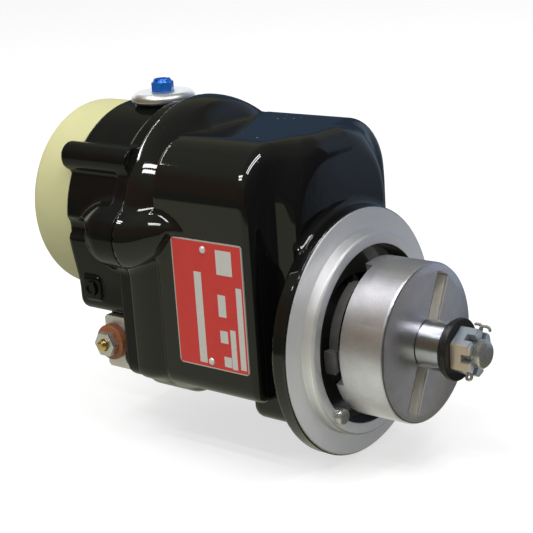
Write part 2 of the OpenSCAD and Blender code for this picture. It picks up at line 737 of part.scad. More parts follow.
module cotter_pin() color([0.75, 0.75, 0.75]) {
  eye_z = -nut_flats / 2 - cotter_eye - cotter_r - 0.2;
  translate([cotter_x, 0, eye_z + cotter_eye]) cylinder(r = cotter_r, h = cotter_bend - eye_z - cotter_eye);
  translate([cotter_x, 0, cotter_bend]) sphere(cotter_r);
  translate([cotter_x, 0, cotter_bend]) rotate([0, 90, 0]) cylinder(r = cotter_r, h = 3.6);
  translate([cotter_x, 0, eye_z]) rotate([90, 0, 0]) rotate_extrude() translate([cotter_eye, 0])
    circle(cotter_r);
}

module pole_shoes() color([0.45, 0.45, 0.47]) slab(rotor_x) for (s = [-1, 1]) difference() {
  union() {
    polygon([[s * 12, cavity_low], [s * (cavity_half - cavity_low_r), cavity_low],
      [s * cavity_half, cavity_low + cavity_low_r], [s * cavity_half, 22], [s * 12, 22]]);
    polygon([[s * shoe_half, 21], [s * cavity_half, 21], [s * cavity_half, core_z[0]],
      [s * shoe_half, core_z[0]]]);
  }
  circle(tunnel_r);
}

module coil_core() color([0.45, 0.45, 0.47])
  box([core_x[0], -core_half, core_z[0]], [core_x[1], core_half, core_z[1]]);

module coil_winding() color([0.35, 0.12, 0.08]) difference() {
  translate([0, -wind_half, 0]) rotate([90, 0, 0]) mirror([0, 0, 1]) linear_extrude(2 * wind_half)
    round_rect([wind_x[0], wind_z[0]], [wind_x[1], wind_z[1]], 6);
  box([core_x[0], -core_half, core_z[0]], [core_x[1], core_half, core_z[1]]);
}

module coil_wedges() color([0.7, 0.6, 0.3]) for (s = [-1, 1]) mirror([0, s < 0 ? 1 : 0, 0])
  box([core_x[0] + 3, shoe_half, core_z[1]], [core_x[1] - 3, core_half, ledge_z[0]]);

module coil_tab() color([0.75, 0.6, 0.25]) {
  box([wind_x[0] - 5, -4, dist_z + 4], [wind_x[0], 4, dist_z + 4.8]);
  box([wind_x[0] - 5.4, -4, dist_z - 4], [wind_x[0] - 4.8, 4, dist_z + 4.8]);
}

module breaker_plate() color([0.6, 0.6, 0.62]) {
  difference() {
    slab(breaker_x) round_rect([-12, -16], [20, 8], 2);
    rod(cam_hole, [breaker_x[0] - 1, breaker_x[1] + 1]);
    for (p = post_at) translate([0, p[0], p[1]]) rod(breaker_screw_r, [breaker_x[0] - 1, breaker_x[1] + 1]);
  }
  translate([0, arm_pivot[0], arm_pivot[1]]) rod(pivot_r, [arm_x[0], breaker_x[0] + 0.3]);
  box([arm_x[0], points_y - 2.5, -7], [breaker_x[0] + 0.3, points_y + 1.8, -4.8]);
}

module breaker_screws() color([0.7, 0.7, 0.7]) for (p = post_at) translate([0, p[0], p[1]]) {
  rod(2.4, [breaker_x[0] - 0.6, breaker_x[0]]);
  rod(breaker_screw_r, [breaker_x[0] - 0.1, breaker_x[1] + 4]);
}

module fixed_contact() color([0.8, 0.8, 0.78]) translate([(arm_x[0] + arm_x[1]) / 2, points_y, -8])
  cylinder(r = contact_r, h = 1);

module breaker_arm() color([0.5, 0.25, 0.12]) {
  difference() {
    union() {
      translate([0, arm_pivot[0], arm_pivot[1]]) rod(3.4, arm_x);
      box([arm_x[0], points_y - 2.2, arm_z[0]], [arm_x[1], arm_pivot[0], arm_z[1]]);
      box([arm_x[0], -1.5, arm_z[0]], [arm_x[1], 1.5, -7]);
    }
    translate([0, arm_pivot[0], arm_pivot[1]]) rod(pivot_r + journal_gap, [arm_x[0] - 1, arm_x[1] + 1]);
  }
  translate([(arm_x[0] + arm_x[1]) / 2, points_y, arm_z[1] - 0.1]) cylinder(r = contact_r, h = 0.95);
}

module distributor_gear() color([0.85, 0.82, 0.72]) translate([0, 0, dist_z]) difference() {
  union() {
    slab(gear_x) rotate(180 / dist_teeth) gear_shape(dist_teeth, gear_play);
    rod(7, [finger_x[0] - 4, gear_x[1]]);
  }
  rod(axle_r, [axle_x[0], axle_x[1]]);
}

module distributor_axle() color([0.66, 0.66, 0.68]) translate([0, 0, dist_z]) difference() {
  rod(axle_r, axle_x);
  rod(brush_r + journal_gap, [brush_bore_x, axle_x[1] + 1]);
}

module distributor_finger() color([0.8, 0.65, 0.3]) translate([0, 0, dist_z]) difference() {
  box([finger_x[0], -2.5, 5.5], [finger_x[1], 2.5, electrode_r - electrode_pin - 0.7]);
  rod(7, [finger_x[0] - 1, finger_x[1] + 1]);
}

module carbon_brush() color([0.12, 0.12, 0.12]) translate([0, 0, dist_z]) {
  rod(brush_r, brush_x);
  rod(brush_tail_r, [brush_x[0] - 2.6, brush_x[0] + 0.1]);
}

module brush_spring() color([0.7, 0.7, 0.7]) translate([brush_bore_x, 0, dist_z]) rotate([0, 90, 0])
  linear_extrude(3.6, twist = 360 * 4, slices = 64, $fn = 8) translate([1.1, 0]) circle(0.3);

module distributor_block() color([0.25, 0.06, 0.05]) translate([0, 0, dist_z]) difference() {
  union() {
    rod(block_r, block_x);
    for (a = [45:90:315]) rotate([a, 0, 0]) translate([0, 0, electrode_r])
      rod(tower_r, [block_x[0] - tower_h, block_x[0] + 1]);
  }
  for (a = [45:90:315]) rotate([a, 0, 0]) translate([0, 0, electrode_r]) {
    rod(electrode_pin, [block_x[0] - tower_h - 1, block_x[1] + 1]);
    rod(tower_well, [block_x[0] - tower_h - 1, block_x[0] - 1]);
  }
  rod(rear_bush_r, [block_x[1] - rear_bush_len, block_x[1] + 1]);
}

module block_electrodes() color([0.8, 0.65, 0.3]) translate([0, 0, dist_z])
  for (a = [45:90:315]) rotate([a, 0, 0]) translate([0, 0, electrode_r])
    rod(electrode_pin, [block_x[0] - 3, finger_x[0] + 1]);

module axle_bushes() color([0.7, 0.5, 0.2]) translate([0, 0, dist_z]) {
  tube(axle_r + journal_gap, dist_bush_r, [web_x[0], axle_x[1]]);
  tube(axle_r + journal_gap, rear_bush_r, [block_x[1] - rear_bush_len, block_x[1]]);
}

drive_frame();
distributor_housing();
rear_cap();
name_plate();
plate_rivets();
port_cover();
port_gasket();
port_screw();
joint_screws();
vent_plug();
condenser_can();
condenser_bracket();
terminal_bush();
terminal_stud();
terminal_nut();
front_outer_race();
front_inner_race();
front_balls();
front_cage();
oil_seal();
rear_outer_race();
rear_inner_race();
rear_balls();
rear_cage();
stop_pin();
rotor_shaft();
rotor_magnet();
rotor_poles();
rotor_gear();
breaker_cam();
drive_key();
coupling_hub();
coupling_body();
coupling_spring();
flyweight_a();
flyweight_b();
flyweight_rivets();
dished_washer();
plain_washer();
slotted_nut();
cotter_pin();
pole_shoes();
coil_core();
coil_winding();
coil_wedges();
coil_tab();
breaker_plate();
breaker_screws();
fixed_contact();
breaker_arm();
distributor_gear();
distributor_axle();
distributor_finger();
carbon_brush();
brush_spring();
distributor_block();
block_electrodes();
axle_bushes();
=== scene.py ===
# %% [markdown]
# # An aircraft magneto, dressed for its portrait
# The solids of this magneto come from the CAD model, already in place and already able to move.
# This lesson gives them what CAD leaves out: the soft edges of a casting, the thread on a shaft,
# paint, bare metal and light. Everything is built in the same frame as the solids, so a piece is
# made where it belongs and is never moved afterwards.

# %% Load the frame
import json
import math

import bpy
import bmesh
import numpy as np
from mathutils import Matrix, Vector

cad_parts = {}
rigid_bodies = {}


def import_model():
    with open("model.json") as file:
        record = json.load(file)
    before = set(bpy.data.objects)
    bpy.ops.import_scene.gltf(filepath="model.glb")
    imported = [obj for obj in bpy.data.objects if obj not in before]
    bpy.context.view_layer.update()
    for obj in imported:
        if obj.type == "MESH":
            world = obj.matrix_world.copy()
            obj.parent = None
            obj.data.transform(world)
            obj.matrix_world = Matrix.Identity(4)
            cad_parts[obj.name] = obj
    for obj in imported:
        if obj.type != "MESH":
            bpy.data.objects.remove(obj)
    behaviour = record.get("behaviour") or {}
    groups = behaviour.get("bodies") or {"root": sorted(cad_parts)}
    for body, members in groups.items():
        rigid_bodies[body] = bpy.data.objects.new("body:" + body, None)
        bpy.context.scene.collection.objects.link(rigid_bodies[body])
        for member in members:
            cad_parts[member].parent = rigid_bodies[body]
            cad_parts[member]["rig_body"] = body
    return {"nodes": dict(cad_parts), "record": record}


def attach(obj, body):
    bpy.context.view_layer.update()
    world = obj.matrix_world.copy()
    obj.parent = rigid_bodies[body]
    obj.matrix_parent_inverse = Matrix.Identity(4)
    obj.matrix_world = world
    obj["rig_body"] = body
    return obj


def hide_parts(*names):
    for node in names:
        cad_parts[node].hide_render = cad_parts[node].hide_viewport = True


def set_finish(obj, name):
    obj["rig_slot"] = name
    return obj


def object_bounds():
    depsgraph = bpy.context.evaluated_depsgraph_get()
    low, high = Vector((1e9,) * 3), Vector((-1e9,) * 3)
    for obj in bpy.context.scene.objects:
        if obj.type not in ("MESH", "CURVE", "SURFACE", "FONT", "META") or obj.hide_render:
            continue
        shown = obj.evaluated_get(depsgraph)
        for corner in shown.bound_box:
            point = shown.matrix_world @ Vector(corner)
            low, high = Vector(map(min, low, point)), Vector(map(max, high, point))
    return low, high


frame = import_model()
CAD_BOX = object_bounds()
MM = 0.001
NODES = frame["nodes"]
SLOT_OF = {part["node"]: part["material_slot"] for part in frame["record"]["subparts"]}


def add_object(name, data):
    """A new object in the scene."""
    made = bpy.data.objects.new(name, data)
    bpy.context.scene.collection.objects.link(made)
    return made


# %% [markdown]
# ## The camera
# The camera stands to the left of the drive end and a little above it. Its three axes and its place
# were fitted to the round flange and the coupling, so the ellipses open as they do in the picture.
# A camera looks along its own minus Z, so the third column of its matrix points back at it.

# %% Camera
IMAGE_SIDE = 533
FOCAL_PIXELS = 1397
CAMERA_RIGHT = Vector((0.7799, 0.6226, -0.0633)).normalized()
CAMERA_BACK = Vector((0.6130, -0.7394, 0.2785)).normalized()
CAMERA_AT = Vector((262.89, -366.47, 155.69)) * MM

camera = add_object("camera", bpy.data.cameras.new("camera"))
camera_up = CAMERA_BACK.cross(CAMERA_RIGHT).normalized()
camera_right = camera_up.cross(CAMERA_BACK)
turn = Matrix((camera_right, camera_up, CAMERA_BACK)).transposed()
camera.matrix_world = Matrix.Translation(CAMERA_AT) @ turn.to_4x4()
camera.data.sensor_width = 36
camera.data.lens = FOCAL_PIXELS * camera.data.sensor_width / IMAGE_SIDE
camera.data.clip_start, camera.data.clip_end = 0.01, 100
bpy.context.scene.camera = camera
print("camera lens", round(camera.data.lens, 1), "mm")

# %% [markdown]
# ## Sums with sockets
# A shader is a formula, and a formula is easier to read as one. The small class below stands for a
# socket: adding, multiplying or comparing two of them puts the matching Math node into the tree.
# The bench is the tree of one finish, and its one method makes every other kind of node.

# %% Wire and bench
def operator(operation):
    """A method that puts one Math node after a wire and whatever it is counted with."""
    def method(self, *others):
        return self.bench.node("Math", dict(enumerate((self, *others))), operation=operation)
    return method


class Wire:
    """A socket that can be used in a sum; every operator adds one Math node."""

    __add__ = __radd__ = operator("ADD")
    __mul__ = __rmul__ = operator("MULTIPLY")
    __sub__ = operator("SUBTRACT")
    __truediv__ = operator("DIVIDE")
    __pow__ = operator("POWER")
    __abs__ = operator("ABSOLUTE")
    __gt__ = operator("GREATER_THAN")
    __lt__ = operator("LESS_THAN")
    least = operator("MINIMUM")
    most = operator("MAXIMUM")
    sine = operator("SINE")

    def __init__(self, bench, socket):
        self.bench, self.socket = bench, socket

    def __rsub__(self, other):
        return self * -1.0 + other

    def rise(self, low, high, start=0.0, end=1.0):
        """A smooth step: start below low, end above high."""
        values = {"Value": self, "From Min": low, "From Max": high, "To Min": start, "To Max": end}
        return self.bench.node("MapRange", values, interpolation_type="SMOOTHSTEP")


class Bench:
    """The node tree of one finish."""

    def __init__(self, tree):
        self.tree = tree
        tree.nodes.clear()

    def node(self, kind, values=None, out=0, **settings):
        """Makes one node: its settings and ramp stops first, then the values or links of its sockets."""
        made = self.tree.nodes.new("ShaderNode" + kind)
        for key, value in settings.items():
            if key == "stops":
                while len(made.color_ramp.elements) < len(value):
                    made.color_ramp.elements.new(1)
                for element, (place, colour) in zip(made.color_ramp.elements, value):
                    element.position, element.color = place, (*colour, 1)
            else:
                setattr(made, key, value)
        for key, value in (values or {}).items():
            if isinstance(value, Wire):
                self.tree.links.new(value.socket, made.inputs[key])
            else:
                made.inputs[key].default_value = value
        return Wire(self, made.outputs[out]) if made.outputs else None

    def mix(self, mask, first, second):
        """A colour between first, where the mask is 0, and second, where it is 1."""
        first, second = (c if isinstance(c, Wire) else (*c, 1) for c in (first, second))
        return self.node("Mix", {0: mask, 6: first, 7: second}, 2, data_type="RGBA")

    def axes(self, place):
        """The three numbers of a vector."""
        split = self.node("SeparateXYZ", {0: place}).socket.node
        return [Wire(self, split.outputs[k]) for k in range(3)]


print("sums ready")

# %% [markdown]
# ## The room
# Black gloss paint has hardly any colour of its own: what the eye reads is the room in it. So the
# room is painted by direction: a grey-green wall and table on the near side, a brown shelf
# along the horizon, a window and a blue curtain behind, a bright doorway and a dark ceiling. The camera
# itself sees plain white, and matt surfaces get an even white light, so colours come out as mixed.

# %% World
CAMERA_WHITE = 1.0
LIGHT_ABOVE, LIGHT_BELOW = 0.66, 0.34
TABLE, TABLE_EDGE = (0.60, 0.61, 0.48), (0.52, 0.53, 0.37)
SHADE, SHELF = (0.10, 0.10, 0.06), (0.19, 0.105, 0.035)
WALL, CEILING = (0.21, 0.21, 0.13), (0.14, 0.15, 0.11)
WINDOW, CURTAIN, DARK = (0.26, 0.33, 0.43), (0.05, 0.085, 0.14), (0.055, 0.055, 0.05)
DOORWAY = (1.3, 1.3, 1.2)


def wall(*stops):
    """A ramp of colours by the height of a direction, which runs from -1 to 1."""
    stops = [((z + 1) / 2, colour) for z, colour in stops]
    return room.node("ValToRGB", {"Fac": look_z * 0.5 + 0.5}, stops=stops)


world = bpy.data.worlds.new("room")
bpy.context.scene.world = world
world.use_nodes = True
room = Bench(world.node_tree)
look_x, look_y, look_z = room.axes(room.node("TexCoord", out="Generated"))
near = wall((-0.6, TABLE), (-0.2, TABLE_EDGE), (-0.16, SHADE), (0.02, SHADE), (0.12, SHELF), (0.42, SHELF),
            (0.58, WALL), (0.8, WALL), (0.95, CEILING))
side = wall((-0.7, SHADE), (-0.3, DARK), (-0.2, WINDOW), (0.5, WINDOW), (0.75, CEILING))
rear = wall((-0.7, TABLE), (-0.35, SHADE), (-0.2, CURTAIN), (0.34, CURTAIN), (0.5, WALL), (0.9, CEILING))
front = wall((-1, SHADE), (-0.3, DARK), (0.5, DARK), (0.9, CEILING))
WINDOW_EDGE, CURTAIN_EDGE = math.radians(52.5), math.radians(105)
FRONT_SLANT, SHELF_SLANT = 1.2, 0.5
DOOR_TOWARDS, DOOR_EDGE = (-0.93, 0.28, 0.22), (0.955, 0.985)


def beyond(angle, soft):
    """1 for directions further round than an angle from the drive end, 0 before it."""
    return (look_y * math.cos(angle) - look_x * math.sin(angle)).rise(-soft, soft)


far = room.mix(beyond(CURTAIN_EDGE, 0.1), side, rear)
painted = room.mix(look_y.rise(-0.12, 0.12), near, far)
farther = look_y.rise(0.0, 0.05)
nearer = 1 - farther
to_front = (look_x - abs(look_y) * math.tan(math.pi / 2 - WINDOW_EDGE)).rise(-0.02, 0.02) * farther
to_front = to_front.most((look_x + look_y * FRONT_SLANT).rise(-0.1, 0.1) * nearer)
shelf_end = (look_x + look_y * SHELF_SLANT).rise(-0.1, 0.1) * look_z.rise(0.0, 0.06)
to_front = to_front.most(shelf_end * nearer)
painted = room.mix(to_front, painted, front)
is_camera, is_glossy = (room.node("LightPath", out="Is " + kind + " Ray") for kind in ("Camera", "Glossy"))
soft = room.mix(look_z.rise(-0.6, 0.6), (LIGHT_BELOW,) * 3, (LIGHT_ABOVE,) * 3)
door_x, door_y, door_z = DOOR_TOWARDS
doorway = (look_x * door_x + look_y * door_y + look_z * door_z).rise(*DOOR_EDGE)
painted = room.mix(doorway, painted, DOORWAY)
seen = room.mix(is_glossy, soft, painted)
seen = room.mix(is_camera, seen, (CAMERA_WHITE,) * 3)
sky = room.node("Background", {"Color": seen, "Strength": 1.0})
room.node("OutputWorld", {"Surface": sky})
bpy.context.scene.view_settings.view_transform = "Standard"
print("room painted, window edge at", round(math.degrees(WINDOW_EDGE)), "degrees")

# %% [markdown]
# ## Strip lamps
# The bright broken frame that lies on every round edge is the reflection of strip lamps: two side by
# side on the near and on the right side of a square, one on the left. The strokes on the boss are wide
# for so small a curve, so the frame that makes them hangs close over the object; it lights the castings
# only. A second frame on the ceiling, with the same order of tubes, lights the floor and the other parts.

# %% Lamps
# Height, width of a tube and brightness
HUNG, KEY = (0.30, 0.02, 26), (1.5, 0.05, 32)


def area_lamp(name, long, wide, brightness, centre, axes):
    """A rectangular lamp that shines along its minus Z; its power is brightness times pi times its area."""
    light = bpy.data.lights.new(name, "AREA")
    light.shape, light.size, light.size_y = "RECTANGLE", long, wide
    light.energy = brightness * math.pi * long * wide
    lamp = add_object(name, light)
    lamp.matrix_world = Matrix.Translation(centre) @ axes.to_4x4()
    return lamp


def tube_lamp(name, start, end, height, width, brightness):
    """A thin lamp between two places given as slopes from the origin, at a height and facing the object."""
    a, b = Vector((*start, 1)) * height, Vector((*end, 1)) * height
    along = (b - a).normalized()
    across = ((a + b) / 2).normalized().cross(along).normalized()
    axes = Matrix((along, across, along.cross(across))).transposed()
    return area_lamp(name, (b - a).length, width, brightness, (a + b) / 2, axes)


HUNG_TUBES = {
    "hung_near_a": ((-0.78, -0.80), (-0.30, -0.80)),
    "hung_near_b": ((-0.78, -0.95), (-0.30, -0.95)),
    "hung_right_a": ((0.05, -0.65), (0.10, 0.05)),
    "hung_right_b": ((0.22, -0.65), (0.26, 0.05)),
    "hung_left": ((-1.08, -0.62), (-1.06, 0.22)),
}
KEY_TUBES = {
    "key_near_a": ((-0.34, -0.46), (0.30, -0.46)),
    "key_near_b": ((-0.34, -0.66), (0.30, -0.66)),
    "key_right_a": ((0.46, -0.36), (0.46, 0.30)),
    "key_right_b": ((0.60, -0.36), (0.60, 0.30)),
    "key_left": ((-0.50, -0.40), (-0.50, 0.10)),
}
hung = [tube_lamp(name, *ends, *HUNG) for name, ends in HUNG_TUBES.items()]
keys = [tube_lamp(name, *ends, *KEY) for name, ends in KEY_TUBES.items()]
print(len(hung), "tubes over the object,", len(keys), "on the ceiling")

# %% [markdown]
# ## The floor
# A wide pale plane just under the lowest point of the flange catches a soft shadow. It is hidden from
# mirror rays, so the paint shows the room instead of an endless white floor.

# %% Floor
FLOOR_GAP = 0.3 * MM
FLOOR_HALF = 10
FLOOR_MATT, FLOOR_GLOW = (0.42,) * 3, (0.62,) * 3


def new_mesh(name, points, faces):
    """A mesh from an array of points in metres and a list of arrays of faces."""
    mesh = bpy.data.meshes.new(name)
    counts = np.concatenate([np.full(len(f), f.shape[1]) for f in faces])
    corners = np.concatenate([f.ravel() for f in faces])
    mesh.vertices.add(len(points))
    mesh.vertices.foreach_set("co", np.ascontiguousarray(points, dtype=np.float32).ravel())
    mesh.loops.add(len(corners))
    mesh.loops.foreach_set("vertex_index", corners.astype(np.int32))
    mesh.polygons.add(len(counts))
    mesh.polygons.foreach_set("loop_start", (np.cumsum(counts) - counts).astype(np.int32))
    mesh.update(calc_edges=True)
    return mesh


floor_z = CAD_BOX[0][2] - FLOOR_GAP
floor_corners = np.array([(-1, -1), (1, -1), (1, 1), (-1, 1)]) * FLOOR_HALF
floor_points = np.column_stack((floor_corners, np.full(4, floor_z)))
floor = add_object("floor", new_mesh("floor", floor_points, [np.array([[0, 1, 2, 3]])]))
floor.visible_glossy = floor.visible_diffuse = False
floor_paint = bpy.data.materials.new("pale_floor")
floor_paint.use_nodes = True
bench = Bench(floor_paint.node_tree)
matt = bench.node("BsdfDiffuse", {"Color": (*FLOOR_MATT, 1)})
to_camera = bench.node("LightPath", out="Is Camera Ray")
glow = bench.node("Emission", {"Color": (*FLOOR_GLOW, 1), "Strength": to_camera})
bench.node("OutputMaterial", {"Surface": bench.node("AddShader", {0: matt, 1: glow})})
floor.data.materials.append(floor_paint)
print("floor at", round(floor_z / MM, 1), "mm")

# %% [markdown]
# ## Castings as fields
# A casting has no sharp edge: every corner is rounded, and where two walls meet the metal fills the
# corner. Bevels on a CAD mesh break where several meet, so the two castings are made as a
# distance field: a function that says how far a point is from the surface, less than zero inside. Two
# fields are joined with a rounding of known radius, and the surface is then laid over the place where
# the field is zero.

# %% Field helpers
EDGE, BORE_EDGE = 0.5, 0.1


def round_and(a, b, r):
    """Inside both: the larger of two distances, with the edge between them rounded to radius r."""
    return np.minimum(np.maximum(a, b), -r) + np.hypot(np.maximum(a + r, 0), np.maximum(b + r, 0))


def round_or(a, b, r):
    """Inside either: the smaller of two distances, with the corner between them filled to radius r."""
    return -round_and(-a, -b, r)


def block(y, z, half, low, top, r_low, r_top):
    """Distance across the shaft to a rectangle whose lower and upper corners have their own radii."""
    middle, tall = (low + top) / 2, (top - low) / 2
    r = np.where(z > middle, r_top, r_low)
    out_y, out_z = np.abs(y) - half + r, np.abs(z - middle) - tall + r
    return np.minimum(np.maximum(out_y, out_z), 0) + np.hypot(np.maximum(out_y, 0), np.maximum(out_z, 0)) - r


def axes_of(p):
    """The three coordinates of an array of points, and their distance from the shaft."""
    return p[..., 0], p[..., 1], p[..., 2], np.hypot(p[..., 1], p[..., 2])


def disc(y, z, at_y, at_z, r):
    """Distance across the shaft to a circle."""
    return np.hypot(y - at_y, z - at_z) - r


def length(section, x, back, front, f_back, f_front):
    """A section carried along the shaft from back to front, with its two rims rounded."""
    return round_and(round_and(section, x - front, f_front), back - x, f_back)


def bored(hollow, distance, x, bores):
    """A hollow with more round bores, each given as radius, back and front; distance is from their axis."""
    for r, back, front in bores:
        hollow = np.minimum(hollow, length(distance - r, x, back, front, BORE_EDGE, BORE_EDGE))
    return hollow


def ease(t, low, high):
    """A smooth step from 0 at low to 1 at high."""
    t = np.clip((t - low) / (high - low), 0, 1)
    return t * t * (3 - 2 * t)


print("field helpers ready")

# %% [markdown]
# ## A skin over a field
# To turn a field into a mesh, space is cut into small cells. Every cell that the surface crosses gets
# one point, neighbouring points are joined to quads, and a few steps along the field's slope pull the
# points exactly onto the surface. The slope is also the true normal, so the shading is as smooth as
# the formula and not as coarse as the cells.

# %% Skin
CELL, PULLS, PULL, LEAST_SLOPE = 0.95, 4, 0.9, 0.05


def slope(field, p, step=0.02):
    """The gradient of a field, by small differences along the three axes."""
    steps = np.eye(3) * step
    return np.stack([(field(p + d) - field(p - d)) / (2 * step) for d in steps], -1)


def skin(field, low, high, cell):
    """Points, quads and normals of the surface where a field is zero, inside a box (surface nets)."""
    low = np.array(low, float)
    count = np.ceil((np.array(high) - low) / cell).astype(int) + 1
    ticks = [low[k] + cell * np.arange(count[k]) for k in range(3)]
    grid = np.stack(np.meshgrid(*ticks, indexing="ij"), -1)
    value = field(grid)
    inside = value < 0
    cells = tuple(count - 1)
    corner = {(i, j, k): (slice(i, i + cells[0]), slice(j, j + cells[1]), slice(k, k + cells[2]))
              for i in (0, 1) for j in (0, 1) for k in (0, 1)}
    full = sum(inside[c].astype(int) for c in corner.values())
    crossed = (full > 0) & (full < 8)
    number = np.full(cells, -1)
    number[crossed] = np.arange(crossed.sum())
    place, weight = np.zeros((crossed.sum(), 3)), np.zeros(crossed.sum())
    for first in corner:
        for axis in [k for k in range(3) if first[k] == 0]:
            second = tuple(1 if k == axis else first[k] for k in range(3))
            f0, f1 = value[corner[first]][crossed], value[corner[second]][crossed]
            cuts = (f0 < 0) != (f1 < 0)
            at = np.tile(np.array(first, float), (len(f0), 1))
            at[:, axis] = np.where(cuts, f0 / np.where(cuts, f0 - f1, 1), 0)
            place += at * cuts[:, None]
            weight += cuts
    points = low + cell * (np.stack(np.nonzero(crossed), -1) + place / weight[:, None])
    quads = []
    for axis in range(3):
        b, c = (axis + 1) % 3, (axis + 2) % 3
        changes = np.diff(inside.astype(int), axis=axis)
        edge = np.stack(np.nonzero(changes), -1)
        edge = edge[(edge[:, b] > 0) & (edge[:, c] > 0) & (edge[:, b] < cells[b]) & (edge[:, c] < cells[c])]
        around = []
        for db, dc in ((1, 1), (0, 1), (0, 0), (1, 0)):
            shift = np.zeros(3, int)
            shift[b], shift[c] = db, dc
            around.append(number[tuple((edge - shift).T)])
        quad = np.stack(around, -1)
        leaving = inside[tuple(edge.T)]
        quads.append(np.where(leaving[:, None], quad, quad[:, ::-1]))
    for _ in range(PULLS):
        g = slope(field, points)
        points -= (field(points) / np.maximum((g * g).sum(-1), LEAST_SLOPE))[:, None] * g * PULL
    g = slope(field, points)
    return points, np.concatenate(quads), g / np.linalg.norm(g, axis=-1, keepdims=True)


def place_piece(name, mesh, body, slot, *nodes):
    """Links a finished mesh as a piece that rides on a body and stands for some solids."""
    piece = add_object(name, mesh)
    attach(piece, body)
    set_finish(piece, slot)
    if nodes:
        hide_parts(*nodes)
    return piece


def cast(name, field, low, high, cell, node, body="casing"):
    """A piece from its field: skin, mesh, exact normals, and its place on a body."""
    points, quads, normals = skin(field, low, high, cell)
    mesh = new_mesh(name, points * MM, [quads])
    mesh.shade_smooth()
    mesh.normals_split_custom_set_from_vertices(normals.tolist())
    print(name, len(quads), "quads, from", points.min(0).round(1), "to", points.max(0).round(1))
    return place_piece(name, mesh, body, SLOT_OF[node], node)


print("skin ready, cells of", CELL, "mm")

# %% [markdown]
# ## The drive frame
# The front casting: a neck as wide as the flange's middle, a wider body with a rounded roof behind
# it, a raised arch at the joint, and on each side a boss for a screw with a nose that runs out
# into the wall. Between neck and body is a deep hollow, one big fillet, where the engine's clamp
# takes hold of the flange. Roof and neck share one height, so they are joined before rounding.

# %% Frame casting
JOINT, POCKET, FLANGE, BARE = -69.0, -14.5, -6.0, -1.0
SIDE_BOSS, SCREW_AT, POST_R = (35.0, 34.5), ((41.2, 34.8), (31.5, -12.0)), 6.5
# Sections: half width, low edge, top edge, radius of the low and of the top corners
NECK, WIDE, ARCH_FOOT = (26, -29, 68.5, 5, 19), (39.6, -17.3, 68.5, 6, 19), (41, -17.3, 36, 6, 0.5)
CAVITY, NECK_CAVITY = (36, -13.8, 64.9, 3, 15.4), (22, 24, 62.9, 6, 6)
NECK_BACK, SCOOP_R, CAVITY_BACK, CAVITY_FRONT, TUNNEL_R = -30.5, 8.0, JOINT - 5, -24, 25
NECK_HOLLOW, POST_BACK, POST_FRONT, JOINT_EDGE = (-26, -11), JOINT - 2, -60.3, 0.7
ARCH_Z, ARCH_R, ARCH_FRONT = 35.8, 41.8, JOINT + 13
ARCH_CREST, ARCH_CROWN, WALL_UNDER, WALL_AHEAD = -67.0, 24.0, 3.2, 3
BOSS_R, BOSS_TAPER, BOSS_CROWN, BOSS_REACH, BOSS_LEAN = 12.6, 0.15, 45.0, 28, (2.5, 4.5)
LEAN_START, LEAN_END, BOSS_SLOPE = JOINT + 2, JOINT + 23, 0.8
FLANK_AT, FLANK_TOP, FLANK_DIP, FLANK_RUN = (-54.3, 28.4), 38.4, 0.54, 0.84
LOW_BOSS, LOW_BOSS_R, LOW_BOSS_LEN = (27, -12.5), 9.5, 24
BELLY_R, BELLY_FRONT, FLANGE_EDGE = 28, -20, 42.95
FRAME_BORES = ((20, -26, -12), (15, -14, 0), (20, -7.5, 2), (31, -3.7, 2))
# Every join ends with its radius; some radii grow between two heights
SHOULDER, CROWN = (42, 62), (58, 72)


def leaning_boss(x, y, z):
    """A screw boss that narrows faster and faster, radius 12.6 - 0.15 d - d^2 / 90 at a distance d from
    the joint, while its centre leans up and out; the lower flank is cut along a slanting line."""
    lean = ease(x, LEAN_START, LEAN_END)
    radius = BOSS_R - BOSS_TAPER * (x - JOINT) - (x - JOINT) ** 2 / (2 * BOSS_CROWN)
    centre_y, centre_z = (SIDE_BOSS[k] + BOSS_LEAN[k] * lean for k in (0, 1))
    boss = np.maximum((np.hypot(y - centre_y, z - centre_z) - radius) * BOSS_SLOPE, x - JOINT - BOSS_REACH)
    flank = np.maximum((z - FLANK_AT[1]) * FLANK_DIP - (x - FLANK_AT[0]) * FLANK_RUN, z - FLANK_TOP)
    return round_and(boss, -flank, 2.0)


